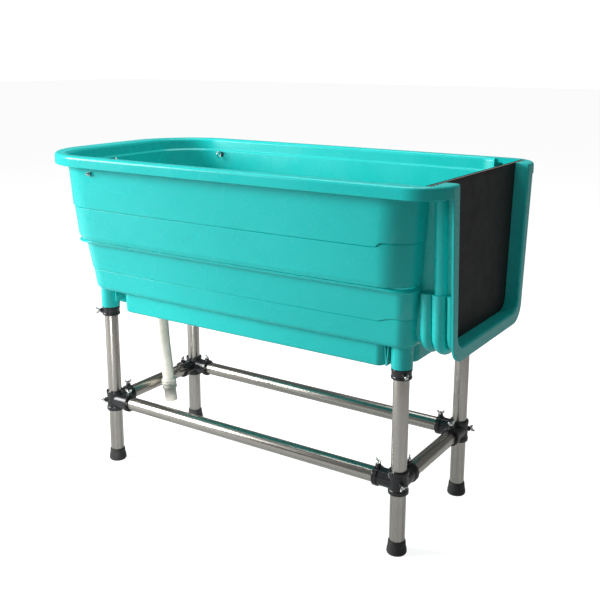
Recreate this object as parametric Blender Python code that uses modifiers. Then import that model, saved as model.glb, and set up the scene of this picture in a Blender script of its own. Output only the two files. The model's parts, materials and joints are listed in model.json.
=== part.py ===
"""Raised pet grooming bathtub.

World frame: +X runs along the tub to the door end, -Y is the front long side, +Z is up, and the origin is on
the floor under the middle of the tub. Metres.
"""

import math

import bmesh
import bpy
from mathutils import Matrix, Vector

OBJECT_NAME = "pet_bathtub"

# --- driving dimensions of the tub ---
RIM_TOP = 0.906  # height of the rim above the floor
RIM_LIP = 0.878  # underside of the turned-down lip
RIM_HALF_WIDTH = 0.314
RIM_LEFT = -0.603  # flat part of the closed end, before its bow
RIM_BOW = 0.012
DOOR_FACE = 0.615  # plane of the end flange
RIM_RADIUS_LEFT = 0.190
RIM_RADIUS_RIGHT = 0.070
WALL = 0.004
END_OFFSET = 0.268  # the closed end stands this much further out than the long walls
SIDE_BOW = 0.006  # how far the long walls belly out at mid length
WALL_BOW = 0.008  # bow of the closed end below the rim
BODY_BOTTOM = 0.524
STEP_HEIGHT = 0.665  # the walls stand further out above this level
DOOR_CORNER = 0.515  # door end of the long walls at the bottom
DOOR_CORNER_LEAN = 0.034  # how much further it reaches just under the rim
SHOULDER_HALF = 0.286  # half width of the flat shoulders beside the board
SHOULDER_FLOOR = 0.8845
THROAT_START = 0.500  # where the door end's U-shaped neck leaves the body
PAN_BOTTOM = 0.468
PAN_TOP = 0.527
PAN_HALF_WIDTH = 0.203
PAN_SPANS = ((-0.370, 0.440, PAN_HALF_WIDTH), (-0.470, 0.492, 0.138))  # left, right, half width
PAN_CORNER = 0.020
OPEN_ABOVE = 0.940  # cutters for what is open at the top end here

# --- frame ---
LEG_MID_X = 0.015  # middle of the legs along the tub
LEG_SPAN_X = 0.922
LEG_SPAN_Y = 0.354
TUBE_RADIUS = 0.019
TUBE_BORE = 0.0175
TUBE_SIDES = 20
RAIL_HEIGHT = 0.185
LEG_TOP = 0.5192
FIT_GAP = 0.0004
BOLT_HOLE = 0.0034
BORE_RADIUS = 0.01945  # bore of a fitting, collar, foot or socket round a tube
COLLAR_BOTTOM = 0.443
COLLAR_TOP = 0.4676
SOCKET_BOTTOM = 0.468
SOCKET_RADIUS = 0.0253
SOCKET_HEIGHT = 0.0585
FOOT_SEAT = 0.0084  # the legs stand this high, on the feet's inner floor
RAIL_CLEAR = 0.0245  # from a leg's axis to the end of a rail

# --- door ---
SLOT_X = 0.575  # middle of the board's thickness
BOARD_THICKNESS = 0.009
CHANNEL_RADIUS = 0.0145
EAR_HALF = 0.280
EAR_BOTTOM = 0.8850
BOARD_SHOULDER_HALF = 0.2185
BOARD_SHOULDER = 0.8500  # the ears slope down to this height
BOARD_LOW_HALF = 0.1965
BOARD_BOTTOM = 0.5275
BOARD_RADIUS = 0.036

# --- waste ---
DRAIN_X = -0.415
WASTE_BORE = 0.0214
WASTE_HOLE = 0.0225
HOSE_RADIUS = 0.018
CUFF_START = Vector((-0.3970, 0.0, 0.2050))
CUFF_END = Vector((-0.3887, 0.0, 0.1355))

ROUND = 2.0 * math.pi
UP = Vector((0.0, 0.0, 1.0))


def remove_everything():
    for item in list(bpy.data.objects):
        bpy.data.objects.remove(item, do_unlink=True)


def make_collection(name):
    found = bpy.data.collections.get(name) or bpy.data.collections.new(name)
    if found.name not in bpy.context.scene.collection.children:
        bpy.context.scene.collection.children.link(found)
    return found


def make_material(name, color, roughness, metallic=0.0):
    material = bpy.data.materials.new(name)
    material.use_nodes = True
    shader = material.node_tree.nodes["Principled BSDF"]
    shader.inputs["Base Color"].default_value = (*color, 1.0)
    shader.inputs["Roughness"].default_value = roughness
    shader.inputs["Metallic"].default_value = metallic
    return material


def put(name, mesh, collection, material=None, matrix=None):
    item = bpy.data.objects.new(name, mesh)
    collection.objects.link(item)
    if matrix is not None:
        item.matrix_world = matrix
    if material is not None and not mesh.materials:
        mesh.materials.append(material)
    return item


def mesh_from(bm, name):
    bmesh.ops.recalc_face_normals(bm, faces=bm.faces)
    mesh = bpy.data.meshes.new(name)
    bm.to_mesh(mesh)
    bm.free()
    return mesh


def smooth(mesh, angle=math.radians(32)):
    mesh.shade_smooth()
    mesh.set_sharp_from_angle(angle=angle)


def cylinder(name, radius, length, sides, matrix, radius_top=None):
    """Closed cylinder or cone along local Z, from z = 0 to z = length."""
    bm = bmesh.new()
    bmesh.ops.create_cone(
        bm,
        cap_ends=True,
        segments=sides,
        radius1=radius,
        radius2=radius if radius_top is None else radius_top,
        depth=length,
        matrix=matrix @ Matrix.Translation((0.0, 0.0, length / 2)),
    )
    return mesh_from(bm, name)


def box(name, low, high):
    bm = bmesh.new()
    size = Vector(high) - Vector(low)
    middle = (Vector(high) + Vector(low)) / 2
    bmesh.ops.create_cube(bm, size=1.0, matrix=Matrix.Translation(middle) @ Matrix.Diagonal((*size, 1.0)))
    return mesh_from(bm, name)


def prism(name, outline, low, high, axes="XYZ"):
    """Flat outline (u, v) made solid between two planes; axes names the world axes of u, v and thickness."""
    order = ["XYZ".index(letter) for letter in axes]
    bm = bmesh.new()
    rings = []
    for level in (low, high):
        ring = []
        for u, v in outline:
            point = [0.0, 0.0, 0.0]
            point[order[0]], point[order[1]], point[order[2]] = u, v, level
            ring.append(bm.verts.new(point))
        rings.append(ring)
    count = len(outline)
    bm.faces.new(rings[0])
    bm.faces.new(rings[1])
    for i in range(count):
        j = (i + 1) % count
        bm.faces.new((rings[0][i], rings[0][j], rings[1][j], rings[1][i]))
    return mesh_from(bm, name)


def loft(name, rings):
    """Closed solid through rings of equal point counts, capped flat at both ends."""
    bm = bmesh.new()
    levels = [[bm.verts.new(point) for point in ring] for ring in rings]
    count = len(rings[0])
    for low, high in zip(levels, levels[1:]):
        for i in range(count):
            j = (i + 1) % count
            bm.faces.new((low[i], low[j], high[j], high[i]))
    bm.faces.new(levels[0])
    bm.faces.new(levels[-1])
    return mesh_from(bm, name)


def turned(name, profile, sides, collection, material, matrix=None):
    """Closed ring profile of (radius, z) points turned round Z with a Screw modifier."""
    mesh = bpy.data.meshes.new(name)
    points = [(radius, 0.0, z) for radius, z in profile]
    closed = min(radius for radius, _ in profile) > 0.0
    edges = [(i, i + 1) for i in range(len(points) - 1)]
    if closed:
        edges.append((len(points) - 1, 0))
    mesh.from_pydata(points, edges, [])
    item = put(name, mesh, collection, material, matrix)
    turn = item.modifiers.new("turn", "SCREW")
    turn.steps = sides
    turn.render_steps = sides
    turn.use_merge_vertices = True
    turn.merge_threshold = 0.00001
    turn.use_smooth_shade = True
    return item


def combine(target, operation, tools, cutters):
    """Adds or takes away closed meshes with one exact Boolean each, applied in order."""
    for index, tool in enumerate(tools):
        cutter = put(f"{target.name}_{operation.lower()}_{index}_{tool.name}", tool, cutters)
        cutter.hide_render = True
        cutter.display_type = "WIRE"
        step = target.modifiers.new(f"{operation.lower()}_{index}", "BOOLEAN")
        step.operation = operation
        step.solver = "EXACT"
        step.object = cutter


def settle(item):
    """Turns an object's evaluated modifiers into its own mesh."""
    bpy.context.view_layer.update()
    graph = bpy.context.evaluated_depsgraph_get()
    mesh = bpy.data.meshes.new_from_object(item.evaluated_get(graph))
    bm = bmesh.new()
    bm.from_mesh(mesh)
    bmesh.ops.remove_doubles(bm, verts=bm.verts, dist=0.000005)
    bmesh.ops.dissolve_degenerate(bm, edges=bm.edges, dist=0.000005)
    bm.to_mesh(mesh)
    bm.free()
    item.modifiers.clear()
    item.data = mesh
    return item


def arc(cx, cy, radius, start, stop, steps):
    """Points on an arc, angles in degrees."""
    points = []
    for i in range(steps + 1):
        angle = math.radians(start + (stop - start) * i / steps)
        points.append((cx + radius * math.cos(angle), cy + radius * math.sin(angle)))
    return points


# --- the tub ---
CORNER_STEPS = 6


def tub_outline(left, right, half, radius_left, radius_right, bow):
    """Plan outline of the tub, counterclockwise: rounded corners, bellied long walls, bowed closed end."""
    points = arc(right - radius_right, radius_right - half, radius_right, -90, 0, CORNER_STEPS)
    points += arc(right - radius_right, half - radius_right, radius_right, 0, 90, CORNER_STEPS)
    span = right - radius_right - left - radius_left
    points += [(right - radius_right - span * k / 4, half) for k in (1, 2, 3)]
    points += arc(left + radius_left, half - radius_left, radius_left, 90, 180, CORNER_STEPS)
    points += [(left, (half - radius_left) * k) for k in (0.5, 0.0, -0.5)]
    points += arc(left + radius_left, radius_left - half, radius_left, 180, 270, CORNER_STEPS)
    points += [(left + radius_left + span * k / 4, -half) for k in (1, 2, 3)]
    middle = (left + right) / 2
    shaped = []
    for x, y in points:
        along = (x - middle) / ((right - left) / 2)
        belly = 1.0 + SIDE_BOW / half * max(0.0, 1.0 - along * along)
        push = bow * (1.0 - (y / half) ** 2) * max(0.0, -along) ** 4
        shaped.append((x - push, y * belly))
    return shaped


def body_ring(z, half, wall=0.0, lift=0.0):
    """Ring of the tub's wall at a height, from its half width; the corners grow with height."""
    height = (z - BODY_BOTTOM) / (RIM_LIP - BODY_BOTTOM)
    left = -(half + END_OFFSET)
    right = DOOR_CORNER + DOOR_CORNER_LEAN * height - wall
    if z > STEP_HEIGHT:
        radius_left = 0.118 + 0.014 * height
        radius_right = 0.070 + 0.020 * height
    else:
        radius_left = 0.066 + 0.060 * height
        radius_right = 0.038 + 0.010 * height
    outline = tub_outline(left, right, half, radius_left - wall, radius_right - wall, WALL_BOW)
    return [Vector((x, y, z + lift)) for x, y in outline]


def rim_ring(z, inset):
    outline = tub_outline(
        RIM_LEFT + inset,
        DOOR_FACE - inset,
        RIM_HALF_WIDTH - inset,
        RIM_RADIUS_LEFT - inset,
        RIM_RADIUS_RIGHT - min(inset, 0.05),
        RIM_BOW,
    )
    return [Vector((x, y, z)) for x, y in outline]


def tub_outer_mesh():
    """Outside of the walls with their creases and step, then the rim's lip and rounded top."""
    walls = [
        (0.5240, 0.2130),
        (0.5262, 0.2178),
        (0.5320, 0.2200),
        (0.5860, 0.2290),
        (0.5880, 0.2306),
        (0.6540, 0.2420),
        (0.6600, 0.2445),
        (0.6680, 0.2570),
        (0.6710, 0.2590),
        (0.6740, 0.2650),
        (0.6790, 0.2665),
        (0.7640, 0.2745),
        (0.7660, 0.2762),
        (0.8780, 0.2830),
        (0.8930, 0.2840),
    ]
    rings = [body_ring(z, half) for z, half in walls]
    rings += [
        rim_ring(0.8950, 0.0050),
        rim_ring(RIM_LIP, 0.0042),
        rim_ring(RIM_LIP, 0.0004),
        rim_ring(0.8930, 0.0000),
        rim_ring(0.8995, 0.0018),
        rim_ring(0.9040, 0.0060),
        rim_ring(RIM_TOP, 0.0120),
    ]
    return loft("tub_outer", rings)


def tub_inner_mesh():
    """The hollow: floor, stepped inner walls, the ledge under the rim and the eased inner edge of the rim."""
    levels = [
        (0.5280, 0.2080),
        (0.5310, 0.2140),
        (0.5860, 0.2250),
        (0.6560, 0.2380),
        (0.6620, 0.2400),
        (0.6760, 0.2600),
        (0.6810, 0.2625),
        (0.8700, 0.2775),
        (0.8740, 0.2810),
        (0.8990, 0.2830),
        (0.9035, 0.2850),
        (0.9064, 0.2890),
        (0.9300, 0.2890),
    ]
    rings = []
    for z, half in levels:
        level = min(z, RIM_LIP)
        rings.append(body_ring(level, half, WALL, z - level))
    return loft("tub_hollow", rings)


def u_outline(top_half, low_half, bottom, radius, top):
    """Door-end outline in (y, z): straight tapering sides, round lower corners, flat bottom."""
    lean = (top_half - low_half) / (RIM_TOP - bottom)
    half = low_half + lean * (top - bottom)
    right = arc(low_half - radius, bottom + radius, radius, 0, -90, CORNER_STEPS)
    left = [(-y, z) for y, z in reversed(right)]
    return [(half, top)] + right + left + [(-half, top)]


def board_outline(grow, top):
    """The board with its two ears: sloping undersides down to the channel, then tapering sides."""
    ear = EAR_HALF + grow
    shoulder = BOARD_SHOULDER_HALF + grow
    sides = [(ear, top), (ear, EAR_BOTTOM - grow), (shoulder, BOARD_SHOULDER - grow)]
    middle_y = BOARD_LOW_HALF + grow - BOARD_RADIUS
    middle_z = BOARD_BOTTOM - grow + BOARD_RADIUS
    right = sides + arc(middle_y, middle_z, BOARD_RADIUS, 0, -90, CORNER_STEPS)
    return right + [(-y, z) for y, z in reversed(right)]


def channel_mesh():
    """Half-round rib that wraps the door end and holds the board's channel."""
    count = 8
    rings = []
    for k in range(count + 1):
        angle = math.pi * k / count
        out = CHANNEL_RADIUS * math.sin(angle)
        x = SLOT_X - CHANNEL_RADIUS * math.cos(angle) * 1.02
        outline = u_outline(0.2125 + out, 0.1905 + out, 0.5345 - out, 0.038 + out, 0.8800)
        rings.append([Vector((x, y, z)) for y, z in outline])
    return loft("door_channel", rings)


def pan_mesh(name, inset, top):
    """The deeper middle of the tub's floor, as a cross that leaves the four corners to the legs."""
    parts = []
    bottom = PAN_BOTTOM + inset
    for index, (left, right, half) in enumerate(PAN_SPANS):
        rings = []
        for z, extra in ((bottom, 0.006), (bottom + 0.006, 0.0), (top, -0.002)):
            shape = rounded_rectangle(left, right, half, PAN_CORNER, inset + extra)
            rings.append([Vector((x, y, z)) for x, y in shape])
        parts.append(loft(f"{name}_{index}", rings))
    return parts


def rounded_rectangle(left, right, half, radius, inset):
    left, right, half, radius = left + inset, right - inset, half - inset, max(radius - inset, 0.004)
    points = arc(right - radius, radius - half, radius, -90, 0, 3)
    points += arc(right - radius, half - radius, radius, 0, 90, 3)
    points += arc(left + radius, half - radius, radius, 90, 180, 3)
    points += arc(left + radius, radius - half, radius, 180, 270, 3)
    return points


def leg_places():
    """Corner name, leg axis and the turn that brings a front-left fitting to that corner."""
    corners = (
        ("front_left", -1, -1, 0.0),
        ("front_right", 1, -1, 90.0),
        ("back_right", 1, 1, 180.0),
        ("back_left", -1, 1, 270.0),
    )
    for name, side_x, side_y, turn in corners:
        place = Vector((LEG_MID_X + side_x * LEG_SPAN_X / 2, side_y * LEG_SPAN_Y / 2, 0.0))
        yield name, place, math.radians(turn)


LEASH_EYES = (
    ("back", Vector((-0.398, 0.2820, 0.8600)), 90.0),
    ("left", Vector((-0.5550, -0.045, 0.8600)), 180.0),
    ("front", Vector((-0.390, -0.2820, 0.8600)), -90.0),
)


def eye_matrix(place, heading):
    """Local +X points out through the wall."""
    return Matrix.Translation(place) @ Matrix.Rotation(math.radians(heading), 4, "Z")


def build_tub(collection, cutters, plastic):
    tub = put("tub_shell", tub_outer_mesh(), collection, plastic)
    additions = [
        prism("throat", u_outline(0.2135, 0.1915, 0.5335, 0.038, 0.8810), THROAT_START, 0.6100, "YZX"),
        prism("throat_low", u_outline(0.2155, 0.2000, 0.5265, 0.044, 0.6600), THROAT_START, 0.6090, "YZX"),
        channel_mesh(),
        prism("flange", u_outline(0.2410, 0.2110, 0.5070, 0.050, 0.8900), 0.6095, DOOR_FACE, "YZX"),
        box("shoulder_deck", (0.520, -SHOULDER_HALF, 0.8785), (0.600, SHOULDER_HALF, 0.8970)),
    ]
    additions += pan_mesh("pan", 0.0, PAN_TOP)
    for name, place, _ in leg_places():
        matrix = Matrix.Translation(place + UP * SOCKET_BOTTOM)
        additions.append(cylinder(f"socket_{name}", SOCKET_RADIUS, SOCKET_HEIGHT, TUBE_SIDES, matrix))
    combine(tub, "UNION", additions, cutters)
    hollows = [
        tub_inner_mesh(),
        box(
            "shoulder_room",
            (THROAT_START, -EAR_HALF - 0.0005, SHOULDER_FLOOR),
            (SLOT_X, EAR_HALF + 0.0005, OPEN_ABOVE),
        ),
        prism("passage", u_outline(0.2090, 0.1870, 0.5380, 0.034, OPEN_ABOVE), 0.505, 0.6400, "YZX"),
        prism(
            "board_slot",
            board_outline(FIT_GAP, OPEN_ABOVE),
            SLOT_X - BOARD_THICKNESS / 2 - FIT_GAP,
            SLOT_X + BOARD_THICKNESS / 2 + FIT_GAP,
            "YZX",
        ),
    ]
    hollows += pan_mesh("pan_room", WALL, 0.5400)
    for name, place, _ in leg_places():
        matrix = Matrix.Translation(place + UP * (SOCKET_BOTTOM - 0.01))
        hollows.append(cylinder(f"bore_{name}", BORE_RADIUS, SOCKET_HEIGHT + 0.003, TUBE_SIDES, matrix))
    at_drain = Matrix.Translation((DRAIN_X, 0, PAN_BOTTOM - 0.018))
    hollows.append(cylinder("waste_hole", WASTE_HOLE, 0.04, TUBE_SIDES, at_drain))
    for name, place, heading in LEASH_EYES:
        matrix = eye_matrix(place, heading) @ Matrix.Rotation(math.pi / 2, 4, "Y")
        hollows.append(
            cylinder(f"eye_hole_{name}", BOLT_HOLE, 0.04, 10, matrix @ Matrix.Translation((0, 0, -0.02)))
        )
    combine(tub, "DIFFERENCE", hollows, cutters)
    settle(tub)
    smooth(tub.data)
    return tub


def build_door(collection, plastic):
    mesh = prism(
        "door_panel",
        board_outline(0.0, RIM_TOP - 0.0005),
        SLOT_X - BOARD_THICKNESS / 2,
        SLOT_X + BOARD_THICKNESS / 2,
        "YZX",
    )
    place = Vector((SLOT_X, 0.0, BOARD_BOTTOM))
    mesh.transform(Matrix.Translation(-place))
    board = put("door_panel", mesh, collection, plastic, Matrix.Translation(place))
    ease = board.modifiers.new("eased_edges", "BEVEL")
    ease.width = 0.0012
    ease.segments = 1
    ease.limit_method = "ANGLE"
    ease.angle_limit = math.radians(60)


# --- frame ---
def tube_profile(length):
    return [
        (TUBE_RADIUS, length),
        (TUBE_RADIUS, 0.0),
        (TUBE_BORE, 0.0),
        (TUBE_BORE, length),
    ]


def build_tubes(collection, steel):
    for name, place, _ in leg_places():
        matrix = Matrix.Translation(place + UP * FOOT_SEAT)
        turned(f"leg_{name}", tube_profile(LEG_TOP - FOOT_SEAT), TUBE_SIDES, collection, steel, matrix)
    long_run = LEG_SPAN_X - 2 * RAIL_CLEAR
    for name, side in (("front", -1), ("back", 1)):
        start = Vector((LEG_MID_X - long_run / 2, side * LEG_SPAN_Y / 2, RAIL_HEIGHT))
        matrix = Matrix.Translation(start) @ Matrix.Rotation(math.pi / 2, 4, "Y")
        turned(f"long_rail_{name}", tube_profile(long_run), TUBE_SIDES, collection, steel, matrix)
    short_run = LEG_SPAN_Y - 2 * RAIL_CLEAR
    for name, side in (("left", -1), ("right", 1)):
        start = Vector((LEG_MID_X + side * LEG_SPAN_X / 2, short_run / 2, RAIL_HEIGHT))
        matrix = Matrix.Translation(start) @ Matrix.Rotation(math.pi / 2, 4, "X")
        turned(f"short_rail_{name}", tube_profile(short_run), TUBE_SIDES, collection, steel, matrix)


def build_feet(collection, rubber):
    profile = [
        (0.0212, 0.0340),
        (0.0216, 0.0240),
        (0.0240, 0.0130),
        (0.0245, 0.0050),
        (0.0225, 0.0000),
        (0.0060, 0.0000),
        (0.0060, 0.0080),
        (BORE_RADIUS, 0.0080),
        (BORE_RADIUS, 0.0340),
    ]
    for name, place, _ in leg_places():
        turned(f"foot_{name}", profile, TUBE_SIDES, collection, rubber, Matrix.Translation(place))


# A wing bolt's seat is at its local z = 0: shank below, hub and wings above.
BOLT_SHANK = 0.0030
SHANK_LENGTH = 0.0105


def wing_bolt_mesh(cutters):
    outline = [
        (0.0030, 0.0010),
        (0.0075, 0.0035),
        (0.0105, 0.0095),
        (0.0090, 0.0125),
        (0.0060, 0.0105),
        (0.0030, 0.0065),
    ]
    outline += [(-x, z) for x, z in reversed(outline)]
    holder = put("wing_bolt_form", prism("wings", outline, -0.0012, 0.0012, "XZY"), cutters)
    hub = cylinder("hub", 0.0046, 0.0070, 8, Matrix.Identity(4), 0.0038)
    shank = cylinder("shank", BOLT_SHANK, SHANK_LENGTH + 0.001, 8, Matrix.Translation((0, 0, -SHANK_LENGTH)))
    combine(holder, "UNION", [hub, shank], cutters)
    settle(holder)
    mesh = holder.data.copy()
    mesh.name = "wing_bolt"
    bpy.data.objects.remove(holder)
    return mesh


def toward(direction, origin, spin=0.0):
    """Matrix whose local +Z points along a direction."""
    turn = Vector(direction).normalized().to_track_quat("Z", "Y").to_matrix().to_4x4()
    return Matrix.Translation(origin) @ turn @ Matrix.Rotation(spin, 4, "Z")


ARM_LENGTH = 0.062
ARM_RADIUS = 0.0225
BAND_RADIUS = 0.0250
BAND_LENGTH = 0.015
BOSS_RADIUS = 0.0070
BOSS_TOP = 0.0305
BOLT_SEAT = 0.0308
COLLAR_HALF = 0.029
DIAGONAL = Vector((-1.0, -1.0, 0.0)).normalized()


def fitting_bolts():
    """Name, direction and seat of each wing bolt of a front-left fitting, from its centre."""
    along = ARM_LENGTH - BAND_LENGTH / 2
    yield "long", UP, Vector((along, 0.0, BOLT_SEAT)), 0.35
    yield "short", UP, Vector((0.0, along, BOLT_SEAT)), 1.1
    yield "leg", DIAGONAL, DIAGONAL * BOLT_SEAT, 0.6


def corner_fitting_mesh(cutters):
    body = put(
        "fitting_form",
        cylinder("collar", 0.0240, 2 * COLLAR_HALF, TUBE_SIDES, Matrix.Translation((0, 0, -COLLAR_HALF))),
        cutters,
    )
    arms = (Vector((1, 0, 0)), Vector((0, 1, 0)))
    additions = []
    for index, arm in enumerate(arms):
        additions.append(cylinder(f"arm_{index}", ARM_RADIUS, ARM_LENGTH, TUBE_SIDES, toward(arm, (0, 0, 0))))
        start = arm * (ARM_LENGTH - BAND_LENGTH)
        additions.append(cylinder(f"band_{index}", BAND_RADIUS, BAND_LENGTH, TUBE_SIDES, toward(arm, start)))
    for name, direction, seat, _ in fitting_bolts():
        base = seat - direction * (BOLT_SEAT - 0.015)
        additions.append(
            cylinder(f"boss_{name}", BOSS_RADIUS, BOSS_TOP - 0.015, 12, toward(direction, base))
        )
    combine(body, "UNION", additions, cutters)
    bores = [cylinder("leg_bore", BORE_RADIUS, 0.2, TUBE_SIDES, Matrix.Translation((0, 0, -0.1)))]
    for index, arm in enumerate(arms):
        bores.append(cylinder(f"rail_bore_{index}", BORE_RADIUS, 0.1, TUBE_SIDES, toward(arm, arm * 0.0236)))
    for name, direction, seat, _ in fitting_bolts():
        base = seat - direction * (BOLT_SEAT - 0.012)
        bores.append(cylinder(f"bolt_hole_{name}", BOLT_HOLE, 0.04, 8, toward(direction, base)))
    combine(body, "DIFFERENCE", bores, cutters)
    settle(body)
    mesh = body.data.copy()
    mesh.name = "corner_fitting"
    bpy.data.objects.remove(body)
    return mesh


def leg_collar_mesh(cutters):
    """Clamp ring under a leg socket, with the boss of its wing bolt. Local z = 0 is its underside."""
    height = COLLAR_TOP - COLLAR_BOTTOM
    body = put("collar_form", cylinder("ring", 0.0245, height, TUBE_SIDES, Matrix.Identity(4)), cutters)
    middle = UP * (height / 2)
    boss = cylinder("boss", BOSS_RADIUS, BOSS_TOP - 0.015, 12, toward(DIAGONAL, middle + DIAGONAL * 0.015))
    combine(body, "UNION", [boss], cutters)
    bores = [
        cylinder("leg_bore", BORE_RADIUS, 0.1, TUBE_SIDES, Matrix.Translation((0, 0, -0.05))),
        cylinder("bolt_hole", BOLT_HOLE, 0.04, 8, toward(DIAGONAL, middle + DIAGONAL * 0.012)),
    ]
    combine(body, "DIFFERENCE", bores, cutters)
    settle(body)
    mesh = body.data.copy()
    mesh.name = "leg_collar"
    bpy.data.objects.remove(body)
    return mesh


def build_fittings(collection, cutters, black, bright):
    fitting = corner_fitting_mesh(cutters)
    collar = leg_collar_mesh(cutters)
    bolt = wing_bolt_mesh(cutters)
    for mesh in (fitting, collar, bolt):
        smooth(mesh)
    for name, place, turn in leg_places():
        spin = Matrix.Rotation(turn, 4, "Z")
        hub = Matrix.Translation(place + UP * RAIL_HEIGHT) @ spin
        put(f"corner_fitting_{name}", fitting, collection, black, hub)
        for label, direction, seat, angle in fitting_bolts():
            matrix = hub @ toward(direction, seat, angle)
            put(f"wing_bolt_{label}_{name}", bolt, collection, bright, matrix)
        ring = Matrix.Translation(place + UP * COLLAR_BOTTOM) @ spin
        put(f"leg_collar_{name}", collar, collection, black, ring)
        seat = UP * ((COLLAR_TOP - COLLAR_BOTTOM) / 2) + DIAGONAL * BOLT_SEAT
        put(f"wing_bolt_top_{name}", bolt, collection, bright, ring @ toward(DIAGONAL, seat, 1.3))


# --- leash eyes ---
def leash_eye_mesh(cutters):
    """Eye bolt along local +X: its ring is on the wet side (-X), its shank goes out through the wall."""
    bm = bmesh.new()
    major, minor, around, across = 0.0090, 0.0021, 16, 6
    centre = Vector((-0.0168, 0.0, 0.0))
    rings = []
    for i in range(around):
        angle = ROUND * i / around
        spoke = Vector((math.cos(angle), 0.0, math.sin(angle)))
        ring = []
        for j in range(across):
            tilt = ROUND * j / across
            ring.append(
                bm.verts.new(
                    centre + spoke * (major + minor * math.cos(tilt)) + Vector((0, minor * math.sin(tilt), 0))
                )
            )
        rings.append(ring)
    for i in range(around):
        for j in range(across):
            k, m = (i + 1) % around, (j + 1) % across
            bm.faces.new((rings[i][j], rings[k][j], rings[k][m], rings[i][m]))
    body = put("eye_form", mesh_from(bm, "leash_eye"), cutters)
    shank = cylinder("eye_shank", 0.0030, 0.0230, 10, toward((1, 0, 0), (-0.0080, 0, 0)))
    combine(body, "UNION", [shank], cutters)
    settle(body)
    mesh = body.data.copy()
    mesh.name = "leash_eye"
    bpy.data.objects.remove(body)
    return mesh


def build_leash_eyes(collection, cutters, bright, rubber):
    eye = leash_eye_mesh(cutters)
    smooth(eye)
    for name, place, heading in LEASH_EYES:
        matrix = eye_matrix(place, heading)
        put(f"leash_eye_{name}", eye, collection, bright, matrix)
        lay = matrix @ Matrix.Rotation(math.pi / 2, 4, "Y")
        washer = [(0.0080, -0.0038), (0.0080, -0.0053), (BOLT_HOLE, -0.0053), (BOLT_HOLE, -0.0038)]
        turned(f"leash_washer_{name}", washer, 16, collection, rubber, lay)
        nut = [(0.0064, 0.0084), (0.0064, 0.0038), (0.0040, 0.0038), (0.0040, 0.0084)]
        turned(f"leash_nut_{name}", nut, 6, collection, bright, lay)


# --- waste ---
def build_waste(collection, cutters, white, rubber, hose_plastic):
    floor = PAN_BOTTOM + WALL
    at_drain = Matrix.Translation((DRAIN_X, 0.0, 0.0))
    flange = [
        (0.0210, floor + 0.0003),
        (0.0210, 0.4301),
        (0.0170, 0.4301),
        (0.0170, floor - 0.0110),
        (0.0030, floor - 0.0110),
        (0.0030, floor - 0.0080),
        (0.0178, floor - 0.0080),
        (0.0186, floor + 0.0030),
        (0.0325, floor + 0.0030),
        (0.0335, floor + 0.0003),
    ]
    waste = turned("drain_flange", flange, TUBE_SIDES, collection, white, at_drain)
    slots = []
    for k in range(6):
        angle = ROUND * k / 6
        place = Vector((DRAIN_X + 0.0110 * math.cos(angle), 0.0110 * math.sin(angle), 0.44))
        slots.append(cylinder(f"strainer_hole_{k}", 0.0034, 0.03, 8, Matrix.Translation(place)))
    combine(waste, "DIFFERENCE", slots, cutters)
    turned(
        "drain_gasket",
        [(0.0320, 0.4677), (0.0320, 0.4650), (WASTE_BORE, 0.4650), (WASTE_BORE, 0.4677)],
        TUBE_SIDES,
        collection,
        rubber,
        at_drain,
    )
    lock_nut = [
        (0.0320, 0.4647),
        (0.0320, 0.4550),
        (0.0300, 0.4530),
        (WASTE_BORE, 0.4530),
        (WASTE_BORE, 0.4647),
    ]
    turned("drain_lock_nut", lock_nut, TUBE_SIDES, collection, white, at_drain)
    hose_nut = [
        (0.0275, 0.4510),
        (0.0285, 0.4190),
        (0.0186, 0.4190),
        (0.0186, 0.4260),
        (WASTE_BORE, 0.4290),
        (WASTE_BORE, 0.4510),
    ]
    turned("hose_nut", hose_nut, TUBE_SIDES, collection, white, at_drain)
    seat = floor - 0.0070
    plug = [
        (0.0000, 0.0170),
        (0.0040, 0.0170),
        (0.0050, 0.0150),
        (0.0030, 0.0120),
        (0.0030, 0.0100),
        (0.0180, 0.0098),
        (0.0172, 0.0072),
        (0.0160, 0.0000),
        (0.0000, 0.0000),
    ]
    turned("drain_stopper", plug, TUBE_SIDES, collection, rubber, Matrix.Translation((DRAIN_X, 0.0, seat)))
    build_hose(collection, hose_plastic)


# Points that the hose's middle line passes through, top to bottom, in the plane y = 0: (x, z).
HOSE_ROUTE = (
    (-0.4150, 0.4297),
    (-0.4150, 0.4000),
    (-0.4139, 0.3650),
    (-0.4114, 0.3310),
    (-0.4080, 0.2975),
    (-0.4041, 0.2649),
    (-0.4003, 0.2331),
    (-0.3970, 0.2054),
)


def build_hose(collection, hose_plastic):
    curve = bpy.data.curves.new("drain_hose", "CURVE")
    curve.dimensions = "3D"
    curve.bevel_depth = HOSE_RADIUS
    curve.bevel_resolution = 3
    curve.use_fill_caps = True
    line = curve.splines.new("POLY")
    line.points.add(len(HOSE_ROUTE) - 1)
    for point, (x, z) in zip(line.points, HOSE_ROUTE):
        point.co = (x, 0.0, z, 1.0)
    hose = bpy.data.objects.new("drain_hose", curve)
    collection.objects.link(hose)
    curve.materials.append(hose_plastic)
    run = (CUFF_START - CUFF_END).length
    cuff = [
        (0.0185, 0.0),
        (0.0205, 0.0010),
        (0.0222, 0.0050),
        (0.0222, 0.0160),
        (0.0208, 0.0180),
        (0.0208, 0.0220),
        (0.0222, 0.0240),
        (0.0222, 0.0300),
        (0.0182, 0.0330),
        (0.0182, run),
        (0.0160, run),
        (0.0160, 0.0030),
        (0.0100, 0.0030),
        (0.0100, 0.0),
    ]
    matrix = toward(CUFF_END - CUFF_START, CUFF_START)
    turned("hose_cuff", list(reversed(cuff)), TUBE_SIDES, collection, hose_plastic, matrix)


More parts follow.
